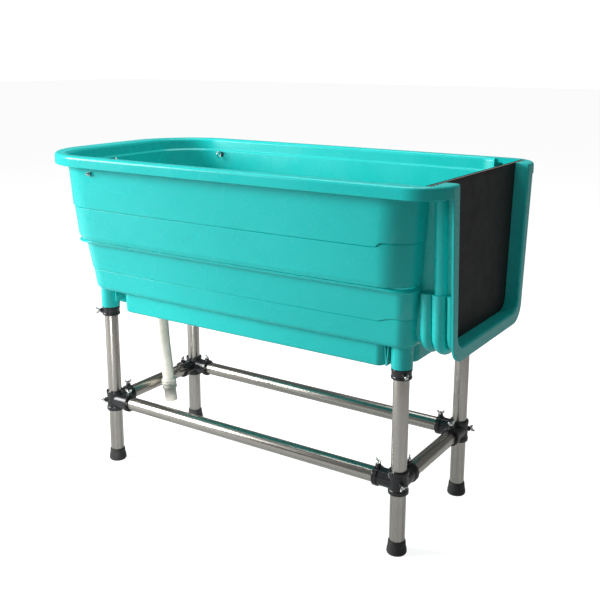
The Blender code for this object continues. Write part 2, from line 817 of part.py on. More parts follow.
def main():
    remove_everything()
    parts = make_collection(OBJECT_NAME)
    cutters = make_collection("cutters")
    plastic = make_material("tub_plastic", (0.048, 0.665, 0.640), 0.34)
    board = make_material("board_plastic", (0.022, 0.023, 0.022), 0.55)
    steel = make_material("brushed_steel", (0.560, 0.540, 0.500), 0.28, 1.0)
    black = make_material("fitting_plastic", (0.012, 0.012, 0.015), 0.25)
    rubber = make_material("black_rubber", (0.018, 0.019, 0.020), 0.60)
    bright = make_material("bolt_steel", (0.620, 0.620, 0.620), 0.22, 1.0)
    white = make_material("waste_plastic", (0.800, 0.790, 0.740), 0.40)
    hose_plastic = make_material("hose_plastic", (0.770, 0.740, 0.660), 0.45)
    build_tub(parts, cutters, plastic)
    build_door(parts, board)
    build_tubes(parts, steel)
    build_feet(parts, rubber)
    build_fittings(parts, cutters, black, bright)
    build_leash_eyes(parts, cutters, bright, rubber)
    build_waste(parts, cutters, white, rubber, hose_plastic)


main()
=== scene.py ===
"""Looks of the raised pet grooming bathtub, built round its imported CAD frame.

World frame: +X runs along the tub to the door end, -Y is the front long side, +Z is up. Metres.
"""

import json
import math

import bmesh
import bpy
import numpy as np
from mathutils import Matrix, Vector


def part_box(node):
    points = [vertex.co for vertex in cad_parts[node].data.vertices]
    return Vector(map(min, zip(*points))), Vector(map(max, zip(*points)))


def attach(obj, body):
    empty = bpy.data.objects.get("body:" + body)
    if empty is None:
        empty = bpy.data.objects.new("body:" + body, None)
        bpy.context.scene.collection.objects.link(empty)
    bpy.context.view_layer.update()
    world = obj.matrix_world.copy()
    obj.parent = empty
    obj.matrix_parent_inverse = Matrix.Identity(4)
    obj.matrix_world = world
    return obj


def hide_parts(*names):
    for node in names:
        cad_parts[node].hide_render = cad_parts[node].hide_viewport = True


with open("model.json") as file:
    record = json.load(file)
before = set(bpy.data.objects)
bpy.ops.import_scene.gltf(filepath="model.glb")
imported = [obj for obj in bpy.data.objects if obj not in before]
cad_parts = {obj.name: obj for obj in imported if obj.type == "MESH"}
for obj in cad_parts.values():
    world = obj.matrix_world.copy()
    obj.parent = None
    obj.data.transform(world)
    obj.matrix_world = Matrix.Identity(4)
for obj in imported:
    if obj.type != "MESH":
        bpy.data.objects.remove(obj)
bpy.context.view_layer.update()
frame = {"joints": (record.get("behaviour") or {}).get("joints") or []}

UP = Vector((0.0, 0.0, 1.0))
ROUND = 2.0 * math.pi

# --- places read from the frame ---
TUB_LOW, TUB_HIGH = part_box("tub_shell")
RIM_TOP = TUB_HIGH.z
DOOR_FACE = TUB_HIGH.x
PAN_BOTTOM = TUB_LOW.z
BOARD_LOW, BOARD_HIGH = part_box("door_panel")
SLOT_X = (BOARD_LOW.x + BOARD_HIGH.x) / 2
BOARD_THICKNESS = BOARD_HIGH.x - BOARD_LOW.x
JOINTS = {joint["name"]: joint for joint in frame["joints"]}
# A corner fitting, with its arms along +X and +Y, is turned this far for each corner, in degrees.
CORNERS = {"front_left": 0.0, "front_right": 90.0, "back_right": 180.0, "back_left": 270.0}

# --- driving dimensions of the tub's visible shell ---
RIM_LIP = RIM_TOP - 0.028
RIM_HALF_WIDTH = 0.314
RIM_LEFT = -0.603
RIM_BOW = 0.012
RIM_RADIUS_LEFT = 0.19
RIM_RADIUS_RIGHT = 0.084
WALL = 0.004
WALL_BOW = 0.008
SIDE_BOW = 0.006
BODY_BOTTOM = 0.524
FLOOR = BODY_BOTTOM + WALL
STEP_HEIGHT = 0.665
END_OFFSET = 0.268  # the closed end lies this far beyond the wall's half width
DOOR_END = 0.515
DOOR_END_LEAN = 0.034
# Corner radii of the closed end and of the door end: each at the body's bottom, and its growth to the lip.
LOWER_RADII = ((0.066, 0.06), (0.038, 0.01))
UPPER_RADII = ((0.118, 0.014), (0.07, 0.02))
OPEN_ABOVE = 0.94  # a height clear of the rim, for cutters that are open upwards


# --- meshes ---
def shade(mesh, angle):
    """Smooth shading, sharp where the surface turns past an angle in degrees."""
    mesh.shade_smooth()
    mesh.set_sharp_from_angle(angle=math.radians(angle))


def finish_mesh(bm, name, angle=38.0):
    """Closes off a bmesh: outward faces, then smooth shading."""
    bmesh.ops.recalc_face_normals(bm, faces=bm.faces)
    mesh = bpy.data.meshes.new(name)
    bm.to_mesh(mesh)
    bm.free()
    shade(mesh, angle)
    return mesh


def eased(points, steps=4, closed=False):
    """Rounds a line's corners: each point is its values and then its radius; the first two values measure."""
    rows = [np.array(point[:-1], float) for point in points]
    radii = [point[-1] for point in points]
    count = len(rows)
    line = []
    for i, (corner, radius) in enumerate(zip(rows, radii)):
        if radius == 0.0 or (not closed and i in (0, count - 1)):
            line.append(corner)
            continue
        before, after = rows[i - 1] - corner, rows[(i + 1) % count] - corner
        near, far = np.linalg.norm(before[:2]), np.linalg.norm(after[:2])
        cosine = float(np.clip(before[:2] @ after[:2] / (near * far), -0.9999, 0.9999))
        cut = min(radius / math.tan(math.acos(cosine) / 2), 0.48 * near, 0.48 * far)
        start, stop = corner + before * (cut / near), corner + after * (cut / far)
        for k in range(steps + 1):
            t = k / steps
            line.append((1 - t) ** 2 * start + 2 * t * (1 - t) * corner + t * t * stop)
    return line


def arc(cx, cy, radius, start, stop, steps):
    """Points on an arc, angles in degrees."""
    angles = [math.radians(start + (stop - start) * i / steps) for i in range(steps + 1)]
    return [(cx + radius * math.cos(angle), cy + radius * math.sin(angle)) for angle in angles]


def around(steps):
    """Angles of a full turn."""
    return [ROUND * k / steps for k in range(steps)]


def polar(radius, angle, z):
    return Vector((radius * math.cos(angle), radius * math.sin(angle), z))


def quarter(steps):
    """Sine and one less cosine over a quarter turn, for rounded edges."""
    angles = [math.pi / 2 * k / steps for k in range(steps + 1)]
    return [(math.sin(angle), 1 - math.cos(angle)) for angle in angles]


def skin(bm, levels, closed):
    """Faces between rings of vertices; a ring may be one vertex repeated, and closed joins last to first."""
    pairs = list(zip(levels, levels[1:]))
    if closed:
        pairs.append((levels[-1], levels[0]))
    for low, high in pairs:
        for i in range(len(low)):
            j = (i + 1) % len(low)
            corners = list(dict.fromkeys((low[i], low[j], high[j], high[i])))
            if len(corners) > 2:
                bm.faces.new(corners)


def loft(name, rings, angle=38.0, closed=False):
    """Skin through rings of equal point counts, capped at both ends or closed on itself."""
    bm = bmesh.new()
    levels = [[bm.verts.new(point) for point in ring] for ring in rings]
    skin(bm, levels, closed)
    if not closed:
        bm.faces.new(levels[0])
        bm.faces.new(levels[-1])
    return finish_mesh(bm, name, angle)


def turned(name, profile, sides=64, angle=38.0, closed=True, matrix=Matrix.Identity(4)):
    """Profile of (radius, z) turned round Z; a radius of zero is a point on the axis."""
    bm = bmesh.new()
    levels = []
    for row in profile:
        radius, z = float(row[0]), float(row[1])
        if radius < 1e-7:
            levels.append([bm.verts.new(matrix @ Vector((0.0, 0.0, z)))] * sides)
            continue
        levels.append([bm.verts.new(matrix @ polar(radius, turn, z)) for turn in around(sides)])
    skin(bm, levels, closed)
    return finish_mesh(bm, name, angle)


def cylinder(name, radius, length, matrix, sides=64, ease=0.0):
    """Closed cylinder along local Z from z = 0 to z = length, its two edges rounded by ease."""
    profile = eased([(0.0, 0.0, 0.0), (radius, 0.0, ease), (radius, length, ease), (0.0, length, 0.0)], 3)
    return turned(name, profile, sides, closed=False, matrix=matrix)


def toward(direction, origin, spin=0.0):
    """Matrix whose local +Z points along a direction."""
    turn = Vector(direction).normalized().to_track_quat("Z", "Y").to_matrix().to_4x4()
    return Matrix.Translation(origin) @ turn @ Matrix.Rotation(spin, 4, "Z")


def new_object(name, data):
    item = bpy.data.objects.new(name, data)
    bpy.context.scene.collection.objects.link(item)
    return item


def settle(item):
    """Turns an object's evaluated modifiers into its own mesh."""
    bpy.context.view_layer.update()
    graph = bpy.context.evaluated_depsgraph_get()
    mesh = bpy.data.meshes.new_from_object(item.evaluated_get(graph))
    item.modifiers.clear()
    item.data = mesh


def combine(item, operation, tools):
    """Adds or takes away closed meshes with an exact Boolean each, then settles the result."""
    helpers = []
    for index, tool in enumerate(tools):
        helper = new_object(f"tool_{index}", tool)
        helpers.append(helper)
        step = item.modifiers.new(f"step_{index}", "BOOLEAN")
        step.operation = operation
        step.solver = "EXACT"
        step.object = helper
    settle(item)
    for helper in helpers:
        bpy.data.objects.remove(helper)


def carved(form, operation, tools, angle):
    """The form's mesh after its Booleans, sharp past an angle; the form itself goes."""
    combine(form, operation, tools)
    mesh = form.data
    shade(mesh, angle)
    bpy.data.objects.remove(form)
    return mesh


def claim(item, body, node):
    """Hangs an item on its body's empty and hides the CAD node that it stands for."""
    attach(item, body)
    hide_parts(node)


def piece(name, mesh, material, node, body="root", matrix=Matrix.Identity(4)):
    """A visible piece: its mesh, finish, CAD node, body and place."""
    item = new_object(name, mesh)
    item.matrix_world = matrix
    if not mesh.materials:
        mesh.materials.append(material)
    claim(item, body, node)
    return item


# --- materials ---
class Finish:
    """Principled material with its texture nodes laid out one after another."""

    def __init__(self, name, roughness=0.4, metallic=0.0):
        self.material = bpy.data.materials.new(name)
        self.material.use_nodes = True
        self.tree = self.material.node_tree
        self.shader = self.tree.nodes["Principled BSDF"]
        self.set(roughness=roughness, metallic=metallic)
        self.place = self.node("ShaderNodeTexCoord").outputs["Object"]
        self.relief = None

    def node(self, kind, values=(), **settings):
        """A new node with its input values and its own settings."""
        made = self.tree.nodes.new(kind)
        for key, value in settings.items():
            setattr(made, key, value)
        for key, value in dict(values).items():
            made.inputs[key].default_value = value
        return made

    def link(self, source, target):
        self.tree.links.new(source, target)

    def stretched(self, scale, rotation=(0.0, 0.0, 0.0)):
        """The object's coordinates, scaled and turned."""
        mapping = self.node("ShaderNodeMapping", {"Scale": scale, "Rotation": rotation})
        self.link(self.place, mapping.inputs["Vector"])
        return mapping.outputs["Vector"]

    def noise(self, scale, detail=2.0, roughness=0.5, vector=None, distortion=0.0):
        values = {"Scale": scale, "Detail": detail, "Roughness": roughness, "Distortion": distortion}
        made = self.node("ShaderNodeTexNoise", values)
        self.link(vector or self.place, made.inputs["Vector"])
        return made.outputs["Fac"]

    def ramp(self, factor, *stops):
        """Colours along a factor: stops are (position, colour)."""
        made = self.node("ShaderNodeValToRGB")
        band = made.color_ramp.elements
        while len(band) < len(stops):
            band.new(0.5)
        for element, (position, color) in zip(band, stops):
            element.position = position
            element.color = (*color, 1.0)
        self.link(factor, made.inputs["Fac"])
        return made.outputs["Color"]

    def spread(self, factor, low, high, start=0.3, stop=0.7):
        """Maps the factor's stretch from start to stop onto low to high."""
        values = {"From Min": start, "From Max": stop, "To Min": low, "To Max": high}
        made = self.node("ShaderNodeMapRange", values)
        self.link(factor, made.inputs["Value"])
        return made.outputs["Result"]

    def mixed(self, factor, first, second):
        """Two colours mixed; 6, 7 and 2 are the mix node's colour sockets."""
        made = self.node("ShaderNodeMix", data_type="RGBA")
        self.link(factor, made.inputs["Factor"])
        for source, socket in ((first, made.inputs[6]), (second, made.inputs[7])):
            if isinstance(source, tuple):
                socket.default_value = (*source, 1.0)
            else:
                self.link(source, socket)
        return made.outputs[2]

    def bump(self, height, depth, strength=1.0):
        """Adds relief of a depth in metres on top of the relief before it."""
        made = self.node("ShaderNodeBump", {"Strength": strength, "Distance": depth})
        self.link(height, made.inputs["Height"])
        if self.relief is not None:
            self.link(self.relief, made.inputs["Normal"])
        self.relief = made.outputs["Normal"]
        self.link(self.relief, self.shader.inputs["Normal"])

    def set(self, **values):
        for key, value in values.items():
            socket = self.shader.inputs[key.replace("_", " ").title().replace("Ior", "IOR")]
            if hasattr(value, "is_output"):
                self.link(value, socket)
            else:
                socket.default_value = (*value, 1.0) if isinstance(value, tuple) else value
        return self


def scuffs(finish, scale, density=0.62):
    """Thin sparse scratches as a factor, 1 on a scratch."""
    streak = finish.noise(scale, 3.0, 0.6, finish.stretched((1.0, 0.12, 1.0), (0.4, 0.7, 0.3)), 0.6)
    return finish.spread(streak, 0.0, 1.0, density, density + 0.1)


def tub_plastic():
    """Moulded teal plastic: cloudy pigment, faint orange peel and pale edge wear."""
    finish = Finish("tub_plastic")
    cloud = finish.noise(3.2, 4.0, 0.55)
    pigment = finish.ramp(cloud, (0.3, (0.01, 0.61, 0.58)), (0.7, (0.018, 0.665, 0.635)))
    edge = finish.node("ShaderNodeNewGeometry").outputs["Pointiness"]
    worn = finish.mixed(finish.spread(edge, 0.0, 0.45, 0.53, 0.6), pigment, (0.1, 0.74, 0.7))
    marks = scuffs(finish, 38.0)
    finish.set(base_color=worn)
    smooth = finish.spread(finish.noise(11.0, 3.0), 0.22, 0.31)
    rough = finish.node("ShaderNodeMath", operation="ADD")
    finish.link(smooth, rough.inputs[0])
    finish.link(finish.spread(marks, 0.0, 0.05, 0.0, 1.0), rough.inputs[1])
    finish.set(roughness=rough.outputs[0])
    finish.bump(finish.noise(650.0, 2.0), 0.00005, 0.5)
    finish.bump(finish.noise(28.0, 2.0), 0.0002, 0.25)
    return finish.set(specular_ior_level=0.36).material


def board_plastic():
    """Black fine-grained board; its upward faces are painted greyer, a painted highlight of light from above.
    """
    finish = Finish("board_plastic")
    grain = finish.noise(900.0, 4.0, 0.7)
    cloud = finish.noise(6.0, 3.0, 0.5)
    face = finish.ramp(cloud, (0.3, (0.0165, 0.0165, 0.016)), (0.7, (0.0195, 0.0195, 0.019)))
    speck = finish.mixed(finish.spread(grain, 0.0, 0.5, 0.55, 0.75), face, (0.04, 0.04, 0.038))
    # Faces that turn up are mixed toward a lighter grey: painted light from above, not a change in the board.
    up = finish.node("ShaderNodeSeparateXYZ")
    finish.link(finish.node("ShaderNodeNewGeometry").outputs["Normal"], up.inputs[0])
    painted_top_light = finish.ramp(finish.noise(260.0, 5.0, 0.7), (0.3, (0.2, 0.17, 0.15)), (0.7, (0.34, 0.3, 0.27)))
    top = finish.spread(up.outputs["Z"], 0.0, 1.0, 0.55, 0.8)
    finish.set(base_color=finish.mixed(top, speck, painted_top_light))
    finish.set(roughness=finish.spread(finish.noise(30.0, 3.0), 0.56, 0.66), specular_ior_level=0.22)
    finish.bump(grain, 0.00016, 0.8)
    finish.bump(finish.noise(60.0, 2.0), 0.00012, 0.4)
    return finish.material


def steel(name, along):
    """Drawn stainless tube: fine lines along its length, warm tone and faint smears."""
    finish = Finish(name, metallic=1.0)
    scale = [260.0, 260.0, 260.0]
    scale["XYZ".index(along)] = 3.0
    lines = finish.noise(1.0, 5.0, 0.65, finish.stretched(tuple(scale)))
    smear = finish.noise(14.0, 4.0, 0.6)
    tone = finish.ramp(lines, (0.3, (0.375, 0.357, 0.325)), (0.7, (0.525, 0.503, 0.462)))
    dull = finish.mixed(finish.spread(smear, 0.0, 0.35, 0.48, 0.7), tone, (0.38, 0.355, 0.315))
    finish.set(base_color=dull)
    finish.set(roughness=finish.spread(lines, 0.2, 0.34))
    finish.bump(lines, 0.00004, 0.5)
    return finish.material


def fitting_plastic():
    """Glossy black moulding with a faint bloom and fine scratches."""
    finish = Finish("fitting_plastic")
    bloom = finish.noise(70.0, 4.0, 0.6)
    tone = finish.ramp(bloom, (0.3, (0.0085, 0.0085, 0.0105)), (0.72, (0.019, 0.019, 0.0215)))
    edge = finish.node("ShaderNodeNewGeometry").outputs["Pointiness"]
    worn = finish.mixed(finish.spread(edge, 0.0, 0.5, 0.56, 0.66), tone, (0.055, 0.055, 0.06))
    finish.set(base_color=worn, roughness=finish.spread(finish.noise(160.0, 3.0), 0.2, 0.34))
    finish.bump(finish.noise(520.0, 2.0), 0.00006, 0.5)
    return finish.material


def black_rubber():
    """Dusty black rubber of the feet, washers, gasket and stopper."""
    finish = Finish("foot_rubber")
    dust = finish.noise(60.0, 5.0, 0.65)
    tone = finish.ramp(dust, (0.35, (0.012, 0.0125, 0.013)), (0.75, (0.03, 0.03, 0.0295)))
    finish.set(base_color=tone, roughness=finish.spread(dust, 0.5, 0.68))
    finish.bump(finish.noise(900.0, 3.0), 0.0001, 0.6)
    return finish.set(sheen_weight=0.08).material


def bolt_steel():
    """Zinc-plated wing bolts and eyes."""
    finish = Finish("bolt_steel", metallic=1.0)
    spangle = finish.noise(420.0, 3.0, 0.6)
    tone = finish.ramp(spangle, (0.3, (0.52, 0.52, 0.515)), (0.7, (0.74, 0.74, 0.73)))
    finish.set(base_color=tone, roughness=finish.spread(spangle, 0.16, 0.3))
    finish.bump(finish.noise(700.0, 2.0), 0.00004, 0.5)
    return finish.material


def pale_plastic(name, low, high, roughness):
    """Off-white waste parts, a little yellowed and dusty."""
    finish = Finish(name)
    cloud = finish.noise(24.0, 4.0, 0.6)
    finish.set(base_color=finish.ramp(cloud, (0.32, low), (0.7, high)))
    finish.set(roughness=finish.spread(finish.noise(90.0, 3.0), roughness - 0.05, roughness + 0.07))
    finish.bump(finish.noise(600.0, 2.0), 0.00006, 0.5)
    return finish.material


# --- camera: it comes first, with the hose ---
def aim_camera():
    """Stands beyond the front door-end corner, above the rim; side and up are the picture's own axes."""
    camera = new_object("camera", bpy.data.cameras.new("camera"))
    side = Vector((0.83629, 0.54828, 0.00232))
    up = Vector((-0.12388, 0.18483, 0.97493))
    back = side.cross(up).normalized()
    up = back.cross(side).normalized()
    turn = Matrix((side, up, back)).transposed()
    camera.matrix_world = Matrix.Translation((1.3298, -1.9006, 1.1657)) @ turn.to_4x4()
    camera.data.sensor_width = 36.0
    camera.data.lens = 52.93
    camera.data.shift_x = -0.0025
    camera.data.shift_y = -0.074
    camera.data.clip_start = 0.05
    bpy.context.scene.camera = camera


# --- drain hose: a free hose that hangs from the waste and ends in its cuff ---
HOSE_DIAMETER = 0.036
HOSE_PITCH = 0.0052
HOSE_GROOVE = 0.0011
HOSE_SIDES = 48
CURVE_STEPS = 24
CUFF_TOP = Vector((-0.397, 0.0, 0.205))
CUFF_END = Vector((-0.3887, 0.0, 0.1355))
# Points that the hose's middle line passes through, top to bottom, in the plane y = 0: (x, z).
HOSE_ROUTE = (
    (-0.415, 0.4297),
    (-0.415, 0.4),
    (-0.4139, 0.365),
    (-0.4114, 0.331),
    (-0.408, 0.2975),
    (-0.4041, 0.2649),
    (-0.4003, 0.2331),
    (-0.397, 0.2054),
)


def smooth_line(route, spacing):
    """Evenly spaced points on a smooth curve through the route, with its length."""
    points = [Vector((x, 0.0, z)) for x, z in route]
    dense = []
    for i in range(len(points) - 1):
        p0, p1 = points[max(i - 1, 0)], points[i]
        p2, p3 = points[i + 1], points[min(i + 2, len(points) - 1)]
        for k in range(CURVE_STEPS):
            t = k / CURVE_STEPS
            dense.append(
                0.5 * (2 * p1 + (p2 - p0) * t + (2 * p0 - 5 * p1 + 4 * p2 - p3) * t * t
                       + (3 * p1 - p0 - 3 * p2 + p3) * t ** 3)
            )
    dense.append(points[-1])
    reach = [0.0]
    for a, b in zip(dense, dense[1:]):
        reach.append(reach[-1] + (b - a).length)
    count = max(2, round(reach[-1] / spacing))
    line = []
    for k in range(count + 1):
        target = reach[-1] * k / count
        i = min(np.searchsorted(reach, target, side="right") - 1, len(dense) - 2)
        share = (target - reach[i]) / (reach[i + 1] - reach[i])
        line.append(dense[i].lerp(dense[i + 1], float(share)))
    return line, reach[-1]


def make_hose(material, cuff):
    """Corrugated hose with closed ends: shallow round ridges with narrow grooves between them."""
    line, length = smooth_line(HOSE_ROUTE, HOSE_PITCH / 8)
    last = len(line) - 1
    rings = []
    for i, point in enumerate(line):
        run = (line[min(i + 1, last)] - line[max(i - 1, 0)]).normalized()
        side = Vector((0.0, 1.0, 0.0))
        across = run.cross(side).normalized()
        phase = (i / last * length / HOSE_PITCH) % 1.0
        radius = HOSE_DIAMETER / 2 - HOSE_GROOVE * (0.5 + 0.5 * math.cos(ROUND * phase)) ** 2
        rings.append([point + radius * (math.cos(turn) * side + math.sin(turn) * across)
                      for turn in around(HOSE_SIDES)])
    mesh = loft("drain_hose_ribbed", rings, 60)
    hose = piece("drain_hose_ribbed", mesh, material, "drain_hose")


def make_cuff(material):
    """Ribbed collar on the hose's end and the smooth spigot below it."""
    run = (CUFF_END - CUFF_TOP).length
    # Radius, distance below the cuff's top and rounding: up the inside, over the top and down the ribs.
    profile = eased([
        (0.016, run, 0.0005), (0.016, 0.0036, 0.0004), (0.01, 0.003, 0.0), (0.01, 0.0, 0.0004),
        (0.0188, 0.0, 0.0006), (0.0206, 0.001, 0.0008), (0.0221, 0.0048, 0.001), (0.0221, 0.009, 0.0008),
        (0.0209, 0.0104, 0.0005), (0.0209, 0.0118, 0.0005), (0.0221, 0.0132, 0.0008),
        (0.0221, 0.0166, 0.0008), (0.0208, 0.0182, 0.0006), (0.0208, 0.0216, 0.0006),
        (0.0221, 0.0236, 0.001), (0.0221, 0.03, 0.001), (0.0186, 0.0326, 0.001),
        (0.0182, 0.036, 0.001), (0.0182, run, 0.0006),
    ], 3, closed=True)
    return piece("hose_cuff_ribbed", turned("hose_cuff_ribbed", profile, 72, 50), material,
                 "hose_cuff", matrix=toward(CUFF_END - CUFF_TOP, CUFF_TOP))


# --- tub shell ---
CORNER_STEPS = 14
SIDE_STEPS = 44
END_STEPS = 16
SEAMS = (0.587, 0.765)
SEAM_RISE = 0.011  # how far a seam hooks up before the door-end corners
SEAM_END = 0.452   # where along X the hook begins
SEAM_RUN = 0.014   # how long the hook is
SEAM_BAND = 0.01  # how far above and below a seam the wall follows the hook


def tub_outline(left, right, half, radius_left, radius_right, bow):
    """Plan outline of the tub, counterclockwise: rounded corners, bellied long walls, bowed closed end."""
    points = arc(right - radius_right, radius_right - half, radius_right, -90, 0, CORNER_STEPS)
    points += arc(right - radius_right, half - radius_right, radius_right, 0, 90, CORNER_STEPS)
    span = right - radius_right - left - radius_left
    steps = [k / SIDE_STEPS for k in range(1, SIDE_STEPS)]
    points += [(right - radius_right - span * k, half) for k in steps]
    points += arc(left + radius_left, half - radius_left, radius_left, 90, 180, CORNER_STEPS)
    points += [(left, (half - radius_left) * (1 - 2 * k / END_STEPS)) for k in range(1, END_STEPS)]
    points += arc(left + radius_left, radius_left - half, radius_left, 180, 270, CORNER_STEPS)
    points += [(left + radius_left + span * k, -half) for k in steps]
    middle = (left + right) / 2
    shaped = []
    for x, y in points:
        along = (x - middle) / ((right - left) / 2)
        belly = 1.0 + SIDE_BOW / half * max(0.0, 1.0 - along * along)
        push = bow * (1.0 - (y / half) ** 2) * max(0.0, -along) ** 4
        shaped.append((x - push, y * belly))
    return shaped


def wall_station(z, half, ease, wall=0.0):
    """One level of the walls: height, half width, the outline's ends, corner radii and bow, and rounding."""
    level = min(z, RIM_LIP)
    height = (level - BODY_BOTTOM) / (RIM_LIP - BODY_BOTTOM)
    radii = UPPER_RADII if level > STEP_HEIGHT else LOWER_RADII
    radius_left, radius_right = (start + growth * height - wall for start, growth in radii)
    left, right = -(half + END_OFFSET), DOOR_END + DOOR_END_LEAN * height - wall
    return (z, half, left, right, radius_left, radius_right, WALL_BOW, ease)


def walls(*levels, wall=0.0):
    """Stations of several levels, each (height, half width, rounding)."""
    return [wall_station(*level, wall) for level in levels]


def floor_station(z, half, inset, wall=0.0):
    """A level of a flat underside or floor, the same distance in from the wall all round."""
    z, half, left, right, *radii, bow, ease = wall_station(z, half, 0.0, wall)
    return (z, half - inset, left + inset, right - inset, *(radius - inset for radius in radii), bow, ease)


def rim_station(z, inset, ease):
    """A level of the rolled rim."""
    left, right = RIM_LEFT + inset, DOOR_FACE - inset
    radii = (RIM_RADIUS_LEFT - inset, RIM_RADIUS_RIGHT - inset)
    return (z, RIM_HALF_WIDTH - inset, left, right, *radii, RIM_BOW, ease)


def rings_through(stations, steps=4):
    rings = []
    for z, half, left, right, radius_left, radius_right, bow in eased(stations, steps):
        outline = tub_outline(left, right, half, radius_left, radius_right, bow)
        rings.append([Vector((x, y, z)) for x, y in outline])
    return rings


def seam(z, half_below, half_above, depth):
    """A thin groove with the wall above it standing proud."""
    deep = half_below - depth
    return walls(
        (z - 0.0026, half_below, 0.001), (z - 0.0012, deep, 0.0004), (z - 0.0002, deep, 0.0004),
        (z + 0.0004, half_above - 0.0004, 0.0006), (z + 0.0014, half_above, 0.001),
    )


def hook_seams(rings):
    """Each seam turns up just before the door-end corners."""
    for ring in rings:
        z = sum(point.z for point in ring) / len(ring)
        for seam_z in SEAMS:
            off = abs(z - seam_z)
            if off > SEAM_BAND:
                continue
            for point in ring:
                t = min(max((point.x - SEAM_END) / SEAM_RUN, 0.0), 1.0)
                point.z += SEAM_RISE * t * t * (3 - 2 * t) * (1.0 - off / (1.2 * SEAM_BAND))


def tub_outer():
    stations = [
        floor_station(BODY_BOTTOM, 0.22, 0.034),
        *walls((BODY_BOTTOM, 0.22, 0.02), (0.56, 0.225, 0.0)),
        *seam(SEAMS[0], 0.2286, 0.2311, 0.0012),
        *walls(
            (0.62, 0.236, 0.0), (0.656, 0.2424, 0.0035), (0.6612, 0.2446, 0.004), (0.665, 0.2572, 0.003),
            (0.6714, 0.2602, 0.001), (0.6728, 0.2578, 0.0004), (0.6742, 0.2636, 0.0016),
            (0.685, 0.2674, 0.01), (0.725, 0.2706, 0.0),
        ),
        *seam(SEAMS[1], 0.2738, 0.2764, 0.002),
        *walls((0.82, 0.2794, 0.0), (0.86, 0.282, 0.0), (0.8945, 0.284, 0.005)),
        rim_station(0.896, 0.0054, 0.004),
        rim_station(RIM_LIP, 0.0046, 0.0012),
        rim_station(RIM_LIP, 0.0, 0.0014),
        rim_station(RIM_TOP, 0.0004, 0.009),
        rim_station(RIM_TOP, 0.018, 0.0),
    ]
    rings = rings_through(stations, 5)
    hook_seams(rings)
    return loft("tub_outer", rings, 60)


def tub_hollow():
    """Cutter for the wet side: floor, stepped walls, the ledge below the rim and the rim's inner edge."""
    levels = walls(
        (FLOOR, 0.215, 0.014), (0.586, 0.225, 0.02), (0.656, 0.2382, 0.005), (0.665, 0.242, 0.008),
        (0.677, 0.261, 0.008), (0.869, 0.2775, 0.002), (0.8745, 0.2812, 0.003), (0.8985, 0.2828, 0.006),
        (0.9036, 0.285, 0.005), (0.9064, 0.2895, 0.0), (0.93, 0.2895, 0.0), wall=WALL,
    )
    return loft("tub_hollow", rings_through([floor_station(FLOOR, 0.215, 0.029, WALL), *levels], 5), 60)


def u_outline(top_half, low_half, bottom, radius, top, steps=CORNER_STEPS):
    """Door-end outline in (y, z): straight tapering sides, round lower corners, flat bottom."""
    lean = (top_half - low_half) / (RIM_TOP - bottom)
    half = low_half + lean * (top - bottom)
    right = arc(low_half - radius, bottom + radius, radius, 0, -90, steps)
    left = [(-y, z) for y, z in reversed(right)]
    return [(half, top)] + right + left + [(-half, top)]


def u_loft(name, sections, top_half, low_half, bottom, radius, top):
    """Solid swept along X: each section is (x, how far the outline grows)."""
    rings = []
    for x, grow in sections:
        outline = u_outline(top_half + grow, low_half + grow, bottom - grow, radius + grow, top)
        rings.append([Vector((x, y, z)) for y, z in outline])
    return loft(name, rings, 60)


def half_round(middle, radius, steps=12, squeeze=1.0):
    """Sections of a half-round rib across X."""
    angles = [math.pi * k / steps for k in range(steps + 1)]
    return [(middle - squeeze * radius * math.cos(a), radius * math.sin(a)) for a in angles]


def flared(start, face, ease, steps=6):
    """Sections of a passage whose mouth rolls outward at the face."""
    roll = [(face - ease + ease * x, ease * grow) for x, grow in quarter(steps)]
    return [(start, 0.0), *roll, (face + 0.01, ease)]


def rounded_plate(low, high, ease, steps=4):
    """Sections of a plate whose outer edge is rounded on the high side."""
    return [(low, 0.0), *((high - ease + ease * x, -ease * shrink) for x, shrink in quarter(steps))]


def board_outline(grow, top):
    """The board with its two ears: their undersides, then the tapering sides and round lower corners."""
    ear, ear_bottom, root, root_bottom = 0.28, 0.887, 0.2185, 0.886
    low_half, bottom, radius = 0.1965, 0.5275, 0.036
    right = [(ear + grow, top), (ear + grow, ear_bottom - grow), (root + grow, root_bottom - grow)]
    right += arc(low_half + grow - radius, bottom - grow + radius, radius, 0, -90, 10)
    return right + [(-y, z) for y, z in reversed(right)]


def box_mesh(name, low, high):
    bm = bmesh.new()
    size, middle = Vector(high) - Vector(low), (Vector(high) + Vector(low)) / 2
    bmesh.ops.create_cube(bm, size=1.0, matrix=Matrix.Translation(middle) @ Matrix.Diagonal((*size, 1.0)))
    return finish_mesh(bm, name)


def rounded_rectangle(left, right, half, radius, steps=8):
    points = arc(right - radius, radius - half, radius, -90, 0, steps)
    points += arc(right - radius, half - radius, radius, 0, 90, steps)
    points += arc(left + radius, half - radius, radius, 90, 180, steps)
    points += arc(left + radius, radius - half, radius, 180, 270, steps)
    return points


PAN_SPANS = ((-0.37, 0.44, 0.203), (-0.47, 0.492, 0.138))
PAN_RADIUS = 0.02
PAN_EASE = 0.008
PAN_STEPS = 5


def pan(name, wall, top):
    """The deeper middle of the floor, as a cross that leaves the four corners to the legs."""
    bottom = PAN_BOTTOM + wall
    levels = [(wall + PAN_EASE * (1 - out), bottom + PAN_EASE * up) for out, up in quarter(PAN_STEPS)]
    levels.append((wall - 0.002, top))
    parts = []
    for index, (left, right, half) in enumerate(PAN_SPANS):
        rings = []
        for inset, z in levels:
            shape = rounded_rectangle(left + inset, right - inset, half - inset, PAN_RADIUS - inset)
            rings.append([Vector((x, y, z)) for x, y in shape])
        parts.append(loft(f"{name}_{index}", rings, 60))
    return parts


def leg_axis(corner):
    low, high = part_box(f"leg_{corner}")
    return Vector(((low.x + high.x) / 2, (low.y + high.y) / 2, 0.0))


